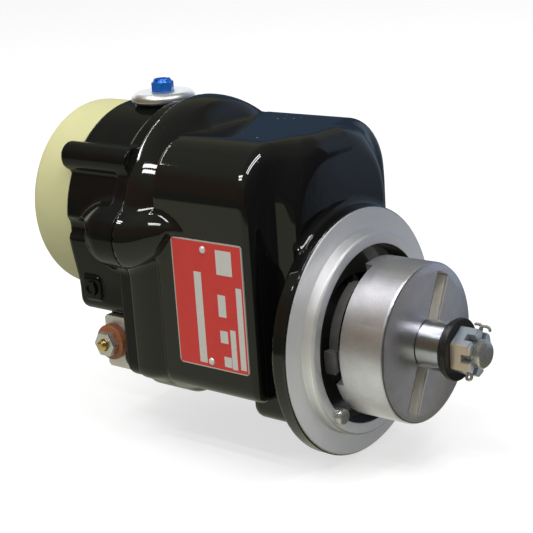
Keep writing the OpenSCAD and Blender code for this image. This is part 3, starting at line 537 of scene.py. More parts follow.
def frame_field(p):
    """Neck, wide body, arch, bosses, belly and flange joined with fillets, less the hollow and bores."""
    x, y, z, shaft = axes_of(p)
    side, high, top = np.abs(y), ease(z, *SHOULDER), ease(z, *CROWN)
    neck = length(block(y, z, *NECK), x, NECK_BACK, FLANGE, 4, 2.5 + 5.5 * high)
    body = round_and(round_or(neck, x - POCKET, SCOOP_R), block(y, z, *WIDE), 3.2 + 2.0 * high)
    body = np.minimum(neck, round_and(body, JOINT - x, JOINT_EDGE))
    arch = np.minimum(disc(y, z, 0, ARCH_Z, ARCH_R), block(y, z, *ARCH_FOOT))
    arch = arch + (x - ARCH_CREST) ** 2 / (2 * ARCH_CROWN)
    body = round_and(body, round_or(arch, ARCH_FRONT - x, 0.6), 1.0)
    ridge = round_and(round_or(body, x - ARCH_FRONT, 0.8 + 5.8 * top), arch, 0.8 + 2.2 * top)
    body = np.minimum(body, round_and(ridge, JOINT - x, 1.0))
    body = round_or(body, round_and(leaning_boss(x, side, z), JOINT - x, JOINT_EDGE), 1.4)
    low = length(disc(side, z, *LOW_BOSS, LOW_BOSS_R), x, JOINT, JOINT + LOW_BOSS_LEN, JOINT_EDGE, 7)
    body = round_or(body, low, 2.0)
    body = round_or(body, length(shaft - BELLY_R, x, JOINT, BELLY_FRONT, JOINT_EDGE, 1), 1.5)
    plate = length(shaft - FLANGE_EDGE, x, FLANGE, BARE, 0.6, 0.05)
    root = round_or(round_and(body, x - BARE, 0.05), plate, 2.6)
    body = np.minimum(np.minimum(body, plate), root)
    hollow = length(block(y, z, *CAVITY), x, CAVITY_BACK, CAVITY_FRONT, EDGE, 2)
    hollow = np.minimum(hollow, length(shaft - TUNNEL_R, x, CAVITY_BACK, CAVITY_FRONT, EDGE, EDGE))
    hollow = np.minimum(hollow, length(block(y, z, *NECK_CAVITY), x, *NECK_HOLLOW, EDGE, 2))
    for at_y, at_z in SCREW_AT:
        post = length(disc(side, z, at_y, at_z, POST_R), x, POST_BACK, POST_FRONT, EDGE, EDGE)
        hollow = np.maximum(hollow, -post)
    hollow = np.maximum(hollow, np.minimum(arch + WALL_UNDER, ARCH_FRONT + WALL_AHEAD - x))
    return np.maximum(body, -bored(hollow, shaft, x, FRAME_BORES))


frame_casting = cast("frame_casting", frame_field, (-70, -49, -45), (1, 49, 79), CELL, "drive_frame")

# %% [markdown]
# ## The distributor housing
# The rear casting closes the frame with an arch of its own, a drum for the distributor, a lower block
# for the breaker points, two tubes for the screws of the harness cap and the second half of the
# screw bosses. It is made as the frame was, with the same helpers.

# %% Housing casting
REAR, DRUM_Z, CAP_Z, BORE_Z, CAP_SEAT_R = -100.5, 35.8, 37.6, 36.0, 35.95
HOUSING_R, DRUM_R, TUBE_R = 40.7, 38.7, 5.2
HOUSING_FOOT, DRUM_FOOT, LOW_BLOCK = (40, -17.3, 36, 6, 0.5), (35.6, 3, 36, 5, 0.5), (27, -19.3, 14, 4, 4)
BREAKER_CHAMBER, FRONT_CHAMBER = (24, -16.5, 26, 2, 2), (35, -12.8, 63.9, 2, 15)
LOW_BLOCK_BACK, CHAMBER_BACK, WEB, FRONT_CHAMBER_X = -94.4, -92, -79, (-75.5, -68)
BEARING_WALL_R, BUSH_WALL_R, PAD_ROOT, VENT_ROOT = 20, 8, 40, -30
NOSE_START, NOSE_REACH, NOSE_R, NOSE_LIFT = 9, 17.6, 12.3, (1.0, 2.2)
NOSE_POWER, NOSE_SLOPE = 1.8, 0.85
CAP_SCREW, CAP_SCREW_R, CAP_SCREW_X = (31.5, 59.5), 2, (-103.5, -88.5)
PORT_X, PORT_SEAT, PORT_PAD_R, PORT_SPOT_R = -84.0, 74.2, 9.2, 12.0
VENT_AT, VENT_HALF, VENT_FACE = (-92.3, 12.6), 4.4, -37.0
DISTRIBUTOR_BORES = ((31.5, -96.9, WEB), (33.5, REAR - 2, -95.9), (5, WEB - 1, -68))
BEARING_BORES = ((16, WEB, -68), (9.5, WEB - 1, -68))
HEAD_R, HEAD_SEATS = 4.8, (-79.5, -75.0)


def nose(x, y, z):
    """A screw boss with a pointed nose: a circle that shrinks by t^1.8 over its reach while its centre
    drifts up and out by t^2."""
    t = np.clip((x - NOSE_START) / NOSE_REACH, 0, 1)
    centre_y, centre_z = (SIDE_BOSS[k] + NOSE_LIFT[k] * t * t for k in (0, 1))
    section = np.hypot(y - centre_y, z - centre_z) - NOSE_R * (1 - t ** NOSE_POWER)
    return np.maximum(section * NOSE_SLOPE, x - NOSE_START - NOSE_REACH)


def housing_field(p):
    """Joint arch, drum, lower block, bosses and pads joined with fillets, less the chambers and bores."""
    x, y, z, shaft = axes_of(p)
    side = np.abs(y)
    arch = np.minimum(disc(y, z, 0, DRUM_Z, HOUSING_R), block(y, z, *HOUSING_FOOT))
    body = length(arch, x, JOINT - 6, JOINT, 1.2, EDGE)
    drum = round_or(disc(y, z, 0, DRUM_Z, DRUM_R), block(y, z, *DRUM_FOOT), 4)
    body = round_or(body, length(drum, x, REAR, JOINT - 1, 2, EDGE), 2.2)
    body = round_or(body, length(block(y, z, *LOW_BLOCK), x, LOW_BLOCK_BACK, JOINT - 1, 1.5, EDGE), 2.5)
    body = round_or(body, length(disc(side, z, *CAP_SCREW, TUBE_R), x, REAR - 1.5, JOINT - 1, 1, EDGE), 1.6)
    body = round_or(body, round_and(nose(JOINT - x, side, z), x - JOINT, EDGE), 2.0)
    pad = round_and(np.hypot(x - PORT_X, y) - PORT_PAD_R, z - PORT_SEAT, EDGE)
    body = round_or(body, round_and(pad, PAD_ROOT - z, 1), 2.0)
    square = block(x - VENT_AT[0], z, VENT_HALF, VENT_AT[1] - VENT_HALF, VENT_AT[1] + VENT_HALF, 1.8, 1.8)
    body = round_or(body, round_and(round_and(square, VENT_FACE - y, 0.6), y - VENT_ROOT, 1), 1.0)
    body = round_and(body, x - JOINT, EDGE)
    spot = np.maximum(np.hypot(x - PORT_X, y) - PORT_SPOT_R, PORT_SEAT - z)
    hollow = np.minimum(spot, np.maximum(disc(y, z, 0, CAP_Z, CAP_SEAT_R), x - REAR))
    axle = np.hypot(y, z - BORE_Z)
    hollow = bored(hollow, axle, x, DISTRIBUTOR_BORES)
    breaker = length(block(y, z, *BREAKER_CHAMBER), x, CHAMBER_BACK, WEB, BORE_EDGE, BORE_EDGE)
    front = length(block(y, z, *FRONT_CHAMBER), x, *FRONT_CHAMBER_X, EDGE, BORE_EDGE)
    kept = np.minimum(shaft - BEARING_WALL_R, axle - BUSH_WALL_R)
    for at_y, at_z in SCREW_AT:
        kept = np.minimum(kept, disc(side, z, at_y, at_z, POST_R))
    hollow = np.minimum(np.minimum(hollow, breaker), np.maximum(front, -kept))
    body = np.maximum(body, -bored(hollow, shaft, x, BEARING_BORES))
    for (at_y, at_z), seat in zip(SCREW_AT, HEAD_SEATS):
        head = length(disc(side, z, at_y, at_z, HEAD_R), x, REAR - 2, seat, BORE_EDGE, BORE_EDGE)
        body = round_and(body, -head, EDGE)
    cap_hole = length(disc(side, z, *CAP_SCREW, CAP_SCREW_R), x, *CAP_SCREW_X, BORE_EDGE, BORE_EDGE)
    return round_and(body, -cap_hole, 0.3)


housing_casting = cast("housing_casting", housing_field, (-103.5, -49, -21), (-68, 49, 78), CELL,
                       "distributor_housing")

# %% [markdown]
# ## Turned pieces
# What was made on a lathe is made here the same way: a profile of radius and height is carried once
# round an axis. Every corner of the profile is first cut by a small curve, because a turned edge
# is always broken with a file, and that thin band is what catches the light.

# %% Turning helpers
AIM = {"X": [[1, 0, 0], [0, 1, 0], [0, 0, 1]], "Z": [[0, 0, 1], [1, 0, 0], [0, 1, 0]],
       "-Y": [[0, -1, 0], [1, 0, 0], [0, 0, -1]]}
LATHE_SHARP, MOST_CUT = math.radians(40), 0.45


def soften(profile, cut, closed=False, steps=4):
    """Replaces each corner of a profile by a curve between two points at most cut away from it:
    (1-t)^2 A + 2t(1-t) P + t^2 B."""
    here = np.array(profile, float)
    before, after = np.roll(here, 1, 0), np.roll(here, -1, 0)
    t = np.linspace(0, 1, steps)[None, :, None]

    def towards(other):
        far = np.linalg.norm(other - here, axis=1, keepdims=True)
        return here + (other - here) / far * np.minimum(cut, MOST_CUT * far)

    start, end = towards(before)[:, None], towards(after)[:, None]
    curve = (1 - t) ** 2 * start + 2 * t * (1 - t) * here[:, None] + t ** 2 * end
    if not closed:
        return np.concatenate((here[:1], curve[1:-1].reshape(-1, 2), here[-1:]))
    return curve.reshape(-1, 2)


def outward(points, faces):
    """Turns all faces round if the volume they enclose comes out negative."""
    volume = sum(np.einsum("ij,ij->", points[f[:, 0]], np.cross(points[f[:, k]], points[f[:, k + 1]]))
                 for f in faces for k in range(1, f.shape[1] - 1))
    return faces if volume > 0 else [f[:, ::-1] for f in faces]


def round_faces(rows, steps, closed=False):
    """Quads between rows of points that run round an axis, and at both ends a fan to one more point,
    unless the last row joins the first."""
    index = np.arange(rows * steps).reshape(rows, steps)
    if closed:
        index = np.concatenate((index, index[:1]))
    beside = np.roll(index, -1, 1)
    quads = np.stack((index[:-1], beside[:-1], beside[1:], index[1:]), -1).reshape(-1, 4)
    if closed:
        return [quads]
    first = np.full(steps, rows * steps)
    fans = (np.stack((first, beside[0], index[0]), -1), np.stack((first + 1, index[-1], beside[-1]), -1))
    return [quads, np.concatenate(fans)]


def turn_round(radius, along, closed=False):
    """Carries a profile round an axis. radius and along have one row for each point of the profile and
    one column for each step round; the ends are closed by a fan unless the profile is a ring."""
    rows, steps = radius.shape
    angle = 2 * np.pi * np.arange(steps) / steps
    points = np.stack((along, radius * np.cos(angle), radius * np.sin(angle)), -1).reshape(-1, 3)
    if not closed:
        points = np.concatenate((points, [(along[row].mean(), 0, 0) for row in (0, -1)]))
    return points, round_faces(rows, steps, closed)


def turned(name, profile, body, node, centre=(0, 0, 0), aim="X", cut=0.2, closed=False, steps=160,
           replace=True):
    """A lathe piece from a list of (radius, place along the axis)."""
    profile = soften(profile, cut, closed)
    radius = np.repeat(profile[:, :1], steps, 1)
    along = np.repeat(profile[:, 1:], steps, 1)
    points, faces = turn_round(radius, along, closed)
    return lathe_piece(name, points, faces, body, node, centre, aim, replace)


def lathe_piece(name, points, faces, body, node, centre, aim, replace):
    """Aims a piece made along X, moves it to its centre and gives it sharp edges above 40 degrees."""
    points = points @ np.array(AIM[aim], float) + np.array(centre)
    mesh = new_mesh(name, points * MM, outward(points, faces))
    mesh.shade_smooth()
    mesh.set_sharp_from_angle(angle=LATHE_SHARP)
    print(name, len(points), "points")
    return place_piece(name, mesh, body, SLOT_OF[node], *([node] if replace else []))


print("lathe ready for axes", *AIM)

# %% [markdown]
# ## Flange ring, rear cap and port cover
# The mounting flange is part of the frame casting, but its face and its pilot are turned bare after
# painting, so they are laid over the casting as one closed ring. The cap at the rear is a moulded cup,
# and the cover on top a small pressed lid.

# %% Turned pieces
FLANGE_R, PILOT_R, PILOT_H, RECESS_R = 43.0, 34.925, 4.5, 30.4
ring_profile = [(FLANGE_R, -1.8), (FLANGE_R, -0.8), (42.25, 0), (PILOT_R + 0.3, 0), (PILOT_R, 0.3),
                (PILOT_R, 3.8), (PILOT_R - 0.7, PILOT_H), (RECESS_R + 0.5, PILOT_H), (RECESS_R, 4.0),
                (RECESS_R, -3), (20, -3), (20, -5), (42.4, -5), (42.4, -1.8)]
turned("flange_ring", ring_profile, "casing", "drive_frame", cut=0.15, closed=True, steps=320, replace=False)

CAP_R, CAP_LEN, CAP_WALL, CAP_EDGE = 35.6, 21.0, 2.0, 4.0
cap_back = REAR - CAP_LEN
cap_profile = [(0.5, cap_back), (CAP_R, cap_back), (CAP_R, REAR - 1.0), (CAP_R, REAR),
               (CAP_R - CAP_WALL, REAR), (CAP_R - CAP_WALL, cap_back + CAP_WALL), (0.5, cap_back + CAP_WALL)]
cap_profile = np.concatenate((soften(cap_profile[:3], CAP_EDGE, steps=10), cap_profile[3:]))
turned("rear_cap_cup", cap_profile, "casing", "rear_cap", (0, 0, CAP_Z), cut=0.25, steps=240)

PORT_R, PORT_TOP, PORT_H = 11.6, 78.4, 3.4
lid_low = PORT_TOP - PORT_H
lid_profile = [(2.7, lid_low), (PORT_R - 0.3, lid_low), (PORT_R, lid_low + 0.4), (PORT_R, lid_low + 1.2),
               (PORT_R - 0.35, lid_low + 2.2), (PORT_R - 1.5, PORT_TOP - 0.15), (PORT_R - 3.0, PORT_TOP),
               (2.7, PORT_TOP)]
turned("port_lid", lid_profile, "casing", "port_cover", (PORT_X, 0, 0), "Z", cut=0.6, closed=True)

# %% [markdown]
# ## Threads
# A thread is a turned surface whose radius also depends on the angle: going once round must move the
# groove by one pitch. So the depth is a wave of (place / pitch - angle / full turn), with flat
# crests and roots, and it fades out where the chamfer begins.

# %% Threaded shaft and stud
THREAD_CUT, FLANK, CREST, RUN_OUT = 0.2, 1.35, 0.2, 0.3


def threaded(name, before, thread, after, body, node, centre=(0, 0, 0), aim="X", steps=96, per_pitch=12):
    """A lathe piece with a thread between two profiles; thread is (radius, start, end, pitch, depth)."""
    major, start, end, pitch, depth = thread
    before, after = soften(before, THREAD_CUT), soften(after, THREAD_CUT)
    rows = int((end - start) / pitch * per_pitch)
    screw = np.column_stack((np.full(rows, major), np.linspace(start, end, rows)))
    profile = np.concatenate((before, screw, after))
    turn_part = np.arange(steps) / steps
    along = np.repeat(profile[:, 1:], steps, 1)
    wave = np.abs((along / pitch - turn_part) % 1 - 0.5) * 2
    cuts = (along >= start) & (along <= end)
    grow = ease(along, start, start + pitch) * (1 - ease(along, end - pitch * RUN_OUT, end))
    groove = depth * np.clip(wave * FLANK - CREST, 0, 1) * grow * cuts
    points, faces = turn_round(profile[:, :1] - groove, along)
    return lathe_piece(name, points, faces, body, node, centre, aim, True)


SHAFT_STEPS = [(4, -91.5), (4, -84.5), (6, -84.5), (6, -69), (8, -69), (8, -60), (8.5, -60), (8.5, -29),
               (10.2, -29), (10.2, -24), (8.5, -24), (8.5, -6), (6, -6), (6, 34), (4.76, 34), (4.76, 35)]
SHAFT_TIP = [(4.76, 47.1), (4.3, 47.7), (3.6, 48.3), (2.4, 48.5), (0.4, 48.5)]
threaded_shaft = threaded("threaded_shaft", SHAFT_STEPS, (4.76, 35.2, 47.0, 1.06, 0.55), SHAFT_TIP, "rotor",
                          "rotor_shaft")

STUD_AT = (-89.7, 0, -8.8)
threaded("switch_stud", [(2.1, 23.6), (2.1, 35.6), (1.9, 36.2)], (1.9, 36.3, 37.5, 0.6, 0.25),
         [(1.9, 37.6), (1.3, 38.2), (0.2, 38.2)], "casing", "terminal_stud", STUD_AT, "-Y", 48)

# %% [markdown]
# ## The split pin
# A split pin is one length of half-round wire, folded to an eye with its two legs side by side. So it
# is swept in one go: from the tip of the first leg, down through nut and shaft, round the eye, and
# up the second leg, which is bent the other way over the nut.

# %% Split pin
PIN_X, EYE_Z, EYE_R, WIRE_R, LEG_GAP = 43.6, -8.1, 1.0, 0.5, 0.38
PIN_TURN, EYE_POINTS, PIN_ROWS, TIP_ROWS = math.radians(30), 13, 240, 3


def smooth_path(points, count):
    """A curve of count points through given ones, by Catmull-Rom cubics."""
    points = np.array(points, float)
    p = np.concatenate((2 * points[:1] - points[1:2], points, 2 * points[-1:] - points[-2:-1]))
    s = np.linspace(0, len(points) - 1.000001, count)
    k, t = s.astype(int), (s % 1)[:, None]
    a, b, c, d = p[k], p[k + 1], p[k + 2], p[k + 3]
    square, cube = 2 * a - 5 * b + 4 * c - d, 3 * b - a - 3 * c + d
    return 0.5 * (2 * b + (c - a) * t + square * t ** 2 + cube * t ** 3)


def swept(path, radius, sides=14):
    """A round wire along a path that stays near the XZ plane: a circle across every tangent, in the
    plane of the path's side and of the direction at right angles to it."""
    tangent = np.gradient(path, axis=0)
    tangent /= np.linalg.norm(tangent, axis=1, keepdims=True)
    out = np.cross(tangent, (0, 1, 0))
    out /= np.linalg.norm(out, axis=1, keepdims=True)
    flat = np.cross(out, tangent)
    angle = 2 * np.pi * np.arange(sides) / sides
    ends = np.minimum(np.arange(len(path)), np.arange(len(path))[::-1])
    r = (radius * np.sqrt(1 - (1 - np.clip(ends / TIP_ROWS, 0.1, 1)) ** 2))[:, None, None]
    round_out, round_flat = np.cos(angle)[:, None], np.sin(angle)[:, None]
    points = path[:, None] + r * (out[:, None] * round_out + flat[:, None] * round_flat)
    points = np.concatenate((points.reshape(-1, 3), path[:1], path[-1:]))
    return points, round_faces(len(path), sides)


eye_turn = np.radians(np.linspace(90, -270, EYE_POINTS))
eye = np.column_stack((PIN_X + EYE_R * np.cos(eye_turn), LEG_GAP * np.linspace(-1, 1, EYE_POINTS),
                       EYE_Z + EYE_R * np.sin(eye_turn)))
front_leg = [(47.4, -0.7, 7.3), (47.0, -0.6, 8.2), (45.9, -0.5, 8.75), (44.4, -LEG_GAP, 8.75),
             (PIN_X, -LEG_GAP, 8.0), (PIN_X, -LEG_GAP, 5), (PIN_X, -LEG_GAP, 0), (PIN_X, -LEG_GAP, -5)]
back_leg = [(PIN_X, LEG_GAP, -5), (PIN_X, LEG_GAP, 0), (PIN_X, LEG_GAP, 5), (PIN_X, LEG_GAP, 8.0),
            (42.9, LEG_GAP, 9.1), (41.6, 0.5, 9.3), (40.6, 0.5, 9.1)]
pin_path = smooth_path(np.concatenate((front_leg, eye, back_leg)), PIN_ROWS)
pin_points, pin_faces = swept(pin_path, WIRE_R)
across, up = pin_points[:, 1].copy(), pin_points[:, 2].copy()
pin_points[:, 1] = across * math.cos(PIN_TURN) + up * math.sin(PIN_TURN)
pin_points[:, 2] = up * math.cos(PIN_TURN) - across * math.sin(PIN_TURN)
split_pin = lathe_piece("split_pin", pin_points, pin_faces, "rotor", "cotter_pin", (0, 0, 0), "X", True)

# %% [markdown]
# ## The slotted nut
# A hexagon with six slots for the split pin, chamfered on its outer end. Three slots that cross in the
# middle are hard for a bevel, but easy for a field: it is skinned like a casting, with finer cells.

# %% Nut
NUT_X, NUT_FLATS, NUT_SLOT, NUT_FLOOR, NUT_BORE = (38.4, 45.4), 14.29, 2.5, 42.4, 4.72
NUT_CONE_X, NUT_CONE_R, NUT_CONE_FALL, NUT_CONE_SLOPE, NUT_CELL = 44.5, 9, 2.2, 0.41, 0.24


def three_ways(y, z):
    """The distance from three lines through the centre, 60 degrees apart, the first along z."""
    c, h = math.cos(PIN_TURN), math.sin(PIN_TURN)
    return np.abs(y), np.abs(y * h + z * c), np.abs(y * h - z * c)


def nut_field(p):
    """A hexagon between two ends, cut by a cone at the outer end, by three slots and by the bore."""
    x, y, z, shaft = axes_of(p)
    hexagon = np.maximum.reduce(three_ways(y, z)) - NUT_FLATS / 2
    body = length(hexagon, x, *NUT_X, 0.25, 0.25)
    cone = (shaft - NUT_CONE_R + (x - NUT_CONE_X) * NUT_CONE_FALL) * NUT_CONE_SLOPE
    body = round_and(body, cone, 0.2)
    slots = np.minimum.reduce(three_ways(z, y)) - NUT_SLOT / 2
    body = round_and(body, -np.maximum(slots, NUT_FLOOR - x), 0.25)
    return round_and(body, NUT_BORE - shaft, 0.2)


castle_nut = cast("castle_nut", nut_field, (38, -9, -9), (46, 9, 9), NUT_CELL, "slotted_nut", "rotor")

# %% [markdown]
# ## Broken edges
# The remaining visible pieces have the right shape already and only lack the small rounding that
# every real edge has. A copy of the solid is merged, its flat faces are made whole again, and a narrow
# Bevel modifier rounds what is sharper than 35 degrees.

# %% Dressed copies
EDGES = {
    "coupling_body": 0.22, "coupling_hub": 0.25, "dished_washer": 0.35, "plain_washer": 0.45,
    "terminal_nut": 0.3, "port_screw": 0.35, "flyweight_a": 0.25, "flyweight_b": 0.25,
    "flyweight_rivets": 0.2, "plate_rivets": 0.03, "condenser_bracket": 0.4, "joint_screws": 0.3,
    "vent_plug": 0.2, "stop_pin": 0.2, "terminal_bush": 0.5, "port_gasket": 0.2, "name_plate": 0.1,
}
BODY_OF = {node: NODES[node]["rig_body"] for node in NODES}
MERGE, BEVEL_SEGMENTS = 0.002, 2
FLAT, SHARP, BEVELLED = (math.radians(angle) for angle in (0.4, 30, 35))


def dressed(node, width):
    """A copy of a solid with merged points, whole flat faces and rounded edges of that width."""
    mesh = NODES[node].data.copy()
    mesh.name = node + "_dressed"
    mesh.materials.clear()
    work = bmesh.new()
    work.from_mesh(mesh)
    bmesh.ops.remove_doubles(work, verts=work.verts, dist=MERGE * MM)
    bmesh.ops.dissolve_limit(work, angle_limit=FLAT, verts=work.verts, edges=work.edges)
    work.to_mesh(mesh)
    work.free()
    mesh.shade_smooth()
    mesh.set_sharp_from_angle(angle=SHARP)
    piece = place_piece(node + "_dressed", mesh, BODY_OF[node], SLOT_OF[node], node)
    bevel = piece.modifiers.new("broken edge", "BEVEL")
    bevel.width, bevel.segments = width * MM, BEVEL_SEGMENTS
    bevel.limit_method, bevel.angle_limit = "ANGLE", BEVELLED
    bevel.harden_normals = True


for node, width in EDGES.items():
    dressed(node, width)
print(len(EDGES), "solids with broken edges")

# %% [markdown]
# ## Finishes
# One helper starts every finish: a Principled shader with Object coordinates, which stay with the
# piece when it moves. A finish then adds what wear, tool or paint leave behind: orange peel in
# enamel, rings from a lathe, grain from blasting. Most are plain: two colours, a roughness and perhaps
# a bump, each varied by noise.

# %% Finish helper
FINISHES = {}
NOISE_SPAN = (0.3, 0.7)


class Finish(Bench):
    """A material with its coordinates in millimetres and a Principled shader at the end."""

    def __init__(self, name):
        self.material = bpy.data.materials.new(name)
        self.material.use_nodes = True
        super().__init__(self.material.node_tree)
        self.place = self.node("TexCoord", out="Object")
        self.x, self.y, self.z = [axis * 1000.0 for axis in self.axes(self.place)]
        FINISHES[name] = self.material

    def noise(self, size, detail=2.0, rough=0.5):
        """Noise with features of about size millimetres, from 0 to 1."""
        values = {"Vector": self.place, "Scale": 1000.0 / size, "Detail": detail, "Roughness": rough}
        return self.node("TexNoise", values, "Fac")

    def vary(self, size, low, high):
        """A value between low and high, varied by noise of that size."""
        return self.noise(size).rise(*NOISE_SPAN, low, high)

    def bump(self, height, strength, depth):
        """A bump of that height, in parts of depth millimetres."""
        values = {"Height": height, "Strength": strength, "Distance": depth * MM}
        return self.node("Bump", values, "Normal")

    def end(self, **sockets):
        """Closes the tree; words in a socket's name are joined by an underscore."""
        values = {key.replace("_", " "): value for key, value in sockets.items()}
        self.node("OutputMaterial", {"Surface": self.node("BsdfPrincipled", values)})


def around_shaft(f):
    """Distance from the shaft's axis, in millimetres."""
    return (f.y * f.y + f.z * f.z) ** 0.5


def plain(name, colour, dark, light, rough, bump=None, **sockets):
    """A finish between two colours. colour holds the size and detail of their noise, rough the size and
    both ends of the roughness, bump the noise size, strength and depth of a bump."""
    f = Finish(name)
    sockets["Base_Color"] = f.mix(f.noise(*colour), dark, light)
    sockets["Roughness"] = f.vary(*rough)
    if bump:
        sockets["Normal"] = f.bump(f.noise(bump[0]), *bump[1:])
    f.end(**sockets)


print("finish helper ready")

# %% [markdown]
# ## Gloss black paint
# Both castings are stove-enamelled: black, with an even gloss, a few dust specks caught in the roof and
# a trace of orange peel. A dark base with a sharp reflection gives it; the housing is a little duller
# than the frame. The name plate is printed metal, so it gets a red ground with pale fields and a satin
# sheen.

# %% Paint
SPECK_SIZE, SPECK_LEVEL, ROOF = 1.3, 0.87, (60, 67)
f = Finish("gloss_black")
speck = (f.noise(SPECK_SIZE, 0) > SPECK_LEVEL) * f.z.rise(*ROOF)
f.end(Base_Color=f.mix(speck, (0.0045, 0.0045, 0.005), (0.25, 0.25, 0.24)),
      Roughness=f.noise(14).rise(0.3, 0.8, 0.035, 0.075),
      Normal=f.bump(f.noise(7, 3) + f.noise(2.2, 2) * 0.25, 0.35, 0.05))

f = Finish("housing_black")
f.end(Base_Color=f.mix(f.noise(6), (0.003, 0.003, 0.0035), (0.006, 0.006, 0.0065)),
      Roughness=f.noise(9).rise(0.3, 0.75, 0.12, 0.22), Specular_IOR_Level=0.2,
      Normal=f.bump(f.noise(4, 3), 0.35, 0.06))

# Fields on the plate: left, right, low and high edge
PLATE, PRINT_EDGE, BORDER = (-48.3, -17.8, -6.3, 38.0), 0.06, (0.28, 0.5)
BLANKS = [(-29, -22.3, 27.2, 35.6), (-39.1, -35.9, -4.7, 27.1), (-21.3, -18.9, -4.7, 23.6),
          (-24.9, -22.6, -5.1, 8.7), (-29.3, -26, 12.7, 20.3), (-29.3, -26, 3.6, 7.9),
          (-28.3, -25.1, -4.7, -1.1)]


def inside_field(f, left, right, low, high):
    """How far a point lies inside a rectangle on the plate, in millimetres."""
    return (f.x - left).least(right - f.x).least((f.z - low).least(high - f.z))


f = Finish("red_plate")
blank = None
for corners in BLANKS:
    field = inside_field(f, *corners).rise(-PRINT_EDGE, PRINT_EDGE)
    blank = field if blank is None else blank.most(field)
edge = 1 - inside_field(f, *PLATE).rise(*BORDER)
red = f.mix(f.noise(5), (0.60, 0.034, 0.028), (0.68, 0.044, 0.036))
cream = f.mix(f.noise(0.8), (0.56, 0.55, 0.49), (0.70, 0.69, 0.62))
paint = f.mix(edge, f.mix(blank, red, cream), (0.62, 0.60, 0.58))
f.end(Base_Color=paint, Roughness=f.vary(3, 0.3, 0.42), Metallic=edge * 0.6,
      Normal=f.bump(blank, 0.3, 0.04))

plain("blue_anodised", (2,), (0.010, 0.115, 0.50), (0.016, 0.16, 0.62), (1.5, 0.16, 0.28), Metallic=0.35)
print(len(FINISHES), "painted finishes")

# %% [markdown]
# ## Bare metal
# Turned aluminium, ground and blasted steel, zinc plate and brass differ in colour less than in how rough
# they are. Each gets its own roughness, varied by noise so that no face is one flat value. The flange's
# colour has a painted sheen: it is lighter to the left and right than at the top and bottom.

# %% Bare metal
ALUMINIUM, PAINTED_SHEEN_DIM, STEEL = (0.95, 0.95, 0.97), (0.68, 0.68, 0.70), (0.62, 0.61, 0.60)
RIM_PAINT_R, RIM_PAINT_X, DARK_RECESS_R = 42.6, -0.12, 30.75
FLANGE_RINGS, COUPLING_RINGS = 9.0, 7.0
f = Finish("bare_flange")
radius = around_shaft(f)
# The rim is black paint; the pilot's recess is coloured a near-black grey and is not metallic.
recess = radius < DARK_RECESS_R
rim_paint_and_dark_recess = ((f.x < RIM_PAINT_X) * (radius > RIM_PAINT_R)).most(recess)
rings = (radius * FLANGE_RINGS + f.noise(2) * 0.8).sine()
# Painted sheen: the face's colour runs from dim grey at the top and bottom to bright at the left and right.
face_with_painted_sheen = f.mix(f.y * f.y / (radius * radius), PAINTED_SHEEN_DIM, ALUMINIUM)
black = f.mix(recess, (0.006, 0.006, 0.007), (0.045, 0.043, 0.038))
f.end(Base_Color=f.mix(rim_paint_and_dark_recess, face_with_painted_sheen, black),
      Metallic=1 - rim_paint_and_dark_recess, Roughness=rim_paint_and_dark_recess * -0.38 + f.vary(3, 0.48, 0.56),
      Normal=f.bump(rings * (1 - rim_paint_and_dark_recess), 0.35, 0.02))

SLOT_TURN, SLOT_HALF, SLOT_REACH = math.radians(26), 3.3, 23.9
SLOT_FLOOR, SLOT_R, PAINTED_SHADOW_LINE, PAINTED_GLINT_LINE = 18.7, 24.0, 0.3, 0.4
COUPLING_FACE, COUPLING_BORE, RIM_X = 25.2, 8, 25.0
f = Finish("coupling_steel")
radius = around_shaft(f)
face = (f.x > COUPLING_FACE) * (radius > COUPLING_BORE)
grain = f.noise(0.45, 2)
rings = (radius * COUPLING_RINGS + f.noise(1.5)).sine()
# Inside the slot the colour turns a paler olive, varied by noise, and the steel mostly non-metallic.
matt_slot = (f.x < RIM_X) * (radius < SLOT_R) * (f.x > SLOT_FLOOR)
steel = f.mix(f.noise(5, 4), (0.50, 0.49, 0.53), (0.68, 0.67, 0.72))
steel = f.mix(f.noise(0.5, 2).rise(0.45, 0.75, 0.0, 0.3), steel, (0.38, 0.37, 0.38))
across = f.y * math.cos(SLOT_TURN) - f.z * math.sin(SLOT_TURN) + f.noise(1.2) * 0.5 - 0.25
beside_slot = (radius < SLOT_REACH) * (f.x > RIM_X)
# Painted shadow: a dark line along one side of the slot, where its floor lies in shade.
steel = f.mix((abs(across + SLOT_HALF) < PAINTED_SHADOW_LINE) * beside_slot, steel, (0.10, 0.09, 0.08))
# Painted highlight: a bright ragged line along the other side, where the slot's edge catches the light.
steel = f.mix((abs(across - SLOT_HALF) < PAINTED_GLINT_LINE) * beside_slot, steel, (1.0, 0.99, 0.96))
f.end(Base_Color=f.mix(matt_slot * f.noise(1.5, 3).rise(0.3, 0.6, 0.6, 1.0), steel, (0.66, 0.63, 0.55)),
      Metallic=1 - matt_slot * 0.85, Roughness=face * -0.12 + grain.rise(0.25, 0.75, 0.40, 0.50),
      Normal=f.bump(face * rings * 0.5 + (1 - face * 0.4) * grain, 0.5, 0.07))

plain("polished_sleeve", (3,), (0.74, 0.77, 0.83), (0.82, 0.85, 0.90), (2, 0.10, 0.16), Metallic=1.0)
plain("bright_steel", (2.5, 3), STEEL, (0.74, 0.73, 0.72), (1.2, 0.20, 0.34), (0.6, 0.1, 0.02), Metallic=0.8)
plain("dark_steel", (3, 4), (0.15, 0.145, 0.135), (0.30, 0.29, 0.27), (1.2, 0.28, 0.42), Metallic=0.5)

PAINTED_REFLECTION_SPAN = (-6.6, -6.0)
f = Finish("zinc_nut")
# Painted reflection: the facet that faces minus Y is coloured warm brown, as if it mirrored a warm wall.
painted_warm_reflection = f.y.rise(*PAINTED_REFLECTION_SPAN, 1.0, 0.0)
zinc = f.mix(f.noise(4), (0.50, 0.56, 0.64), (0.60, 0.65, 0.72))
f.end(Base_Color=f.mix(painted_warm_reflection, zinc, (0.74, 0.60, 0.50)), Metallic=0.7,
      Roughness=f.vary(1, 0.28, 0.38))

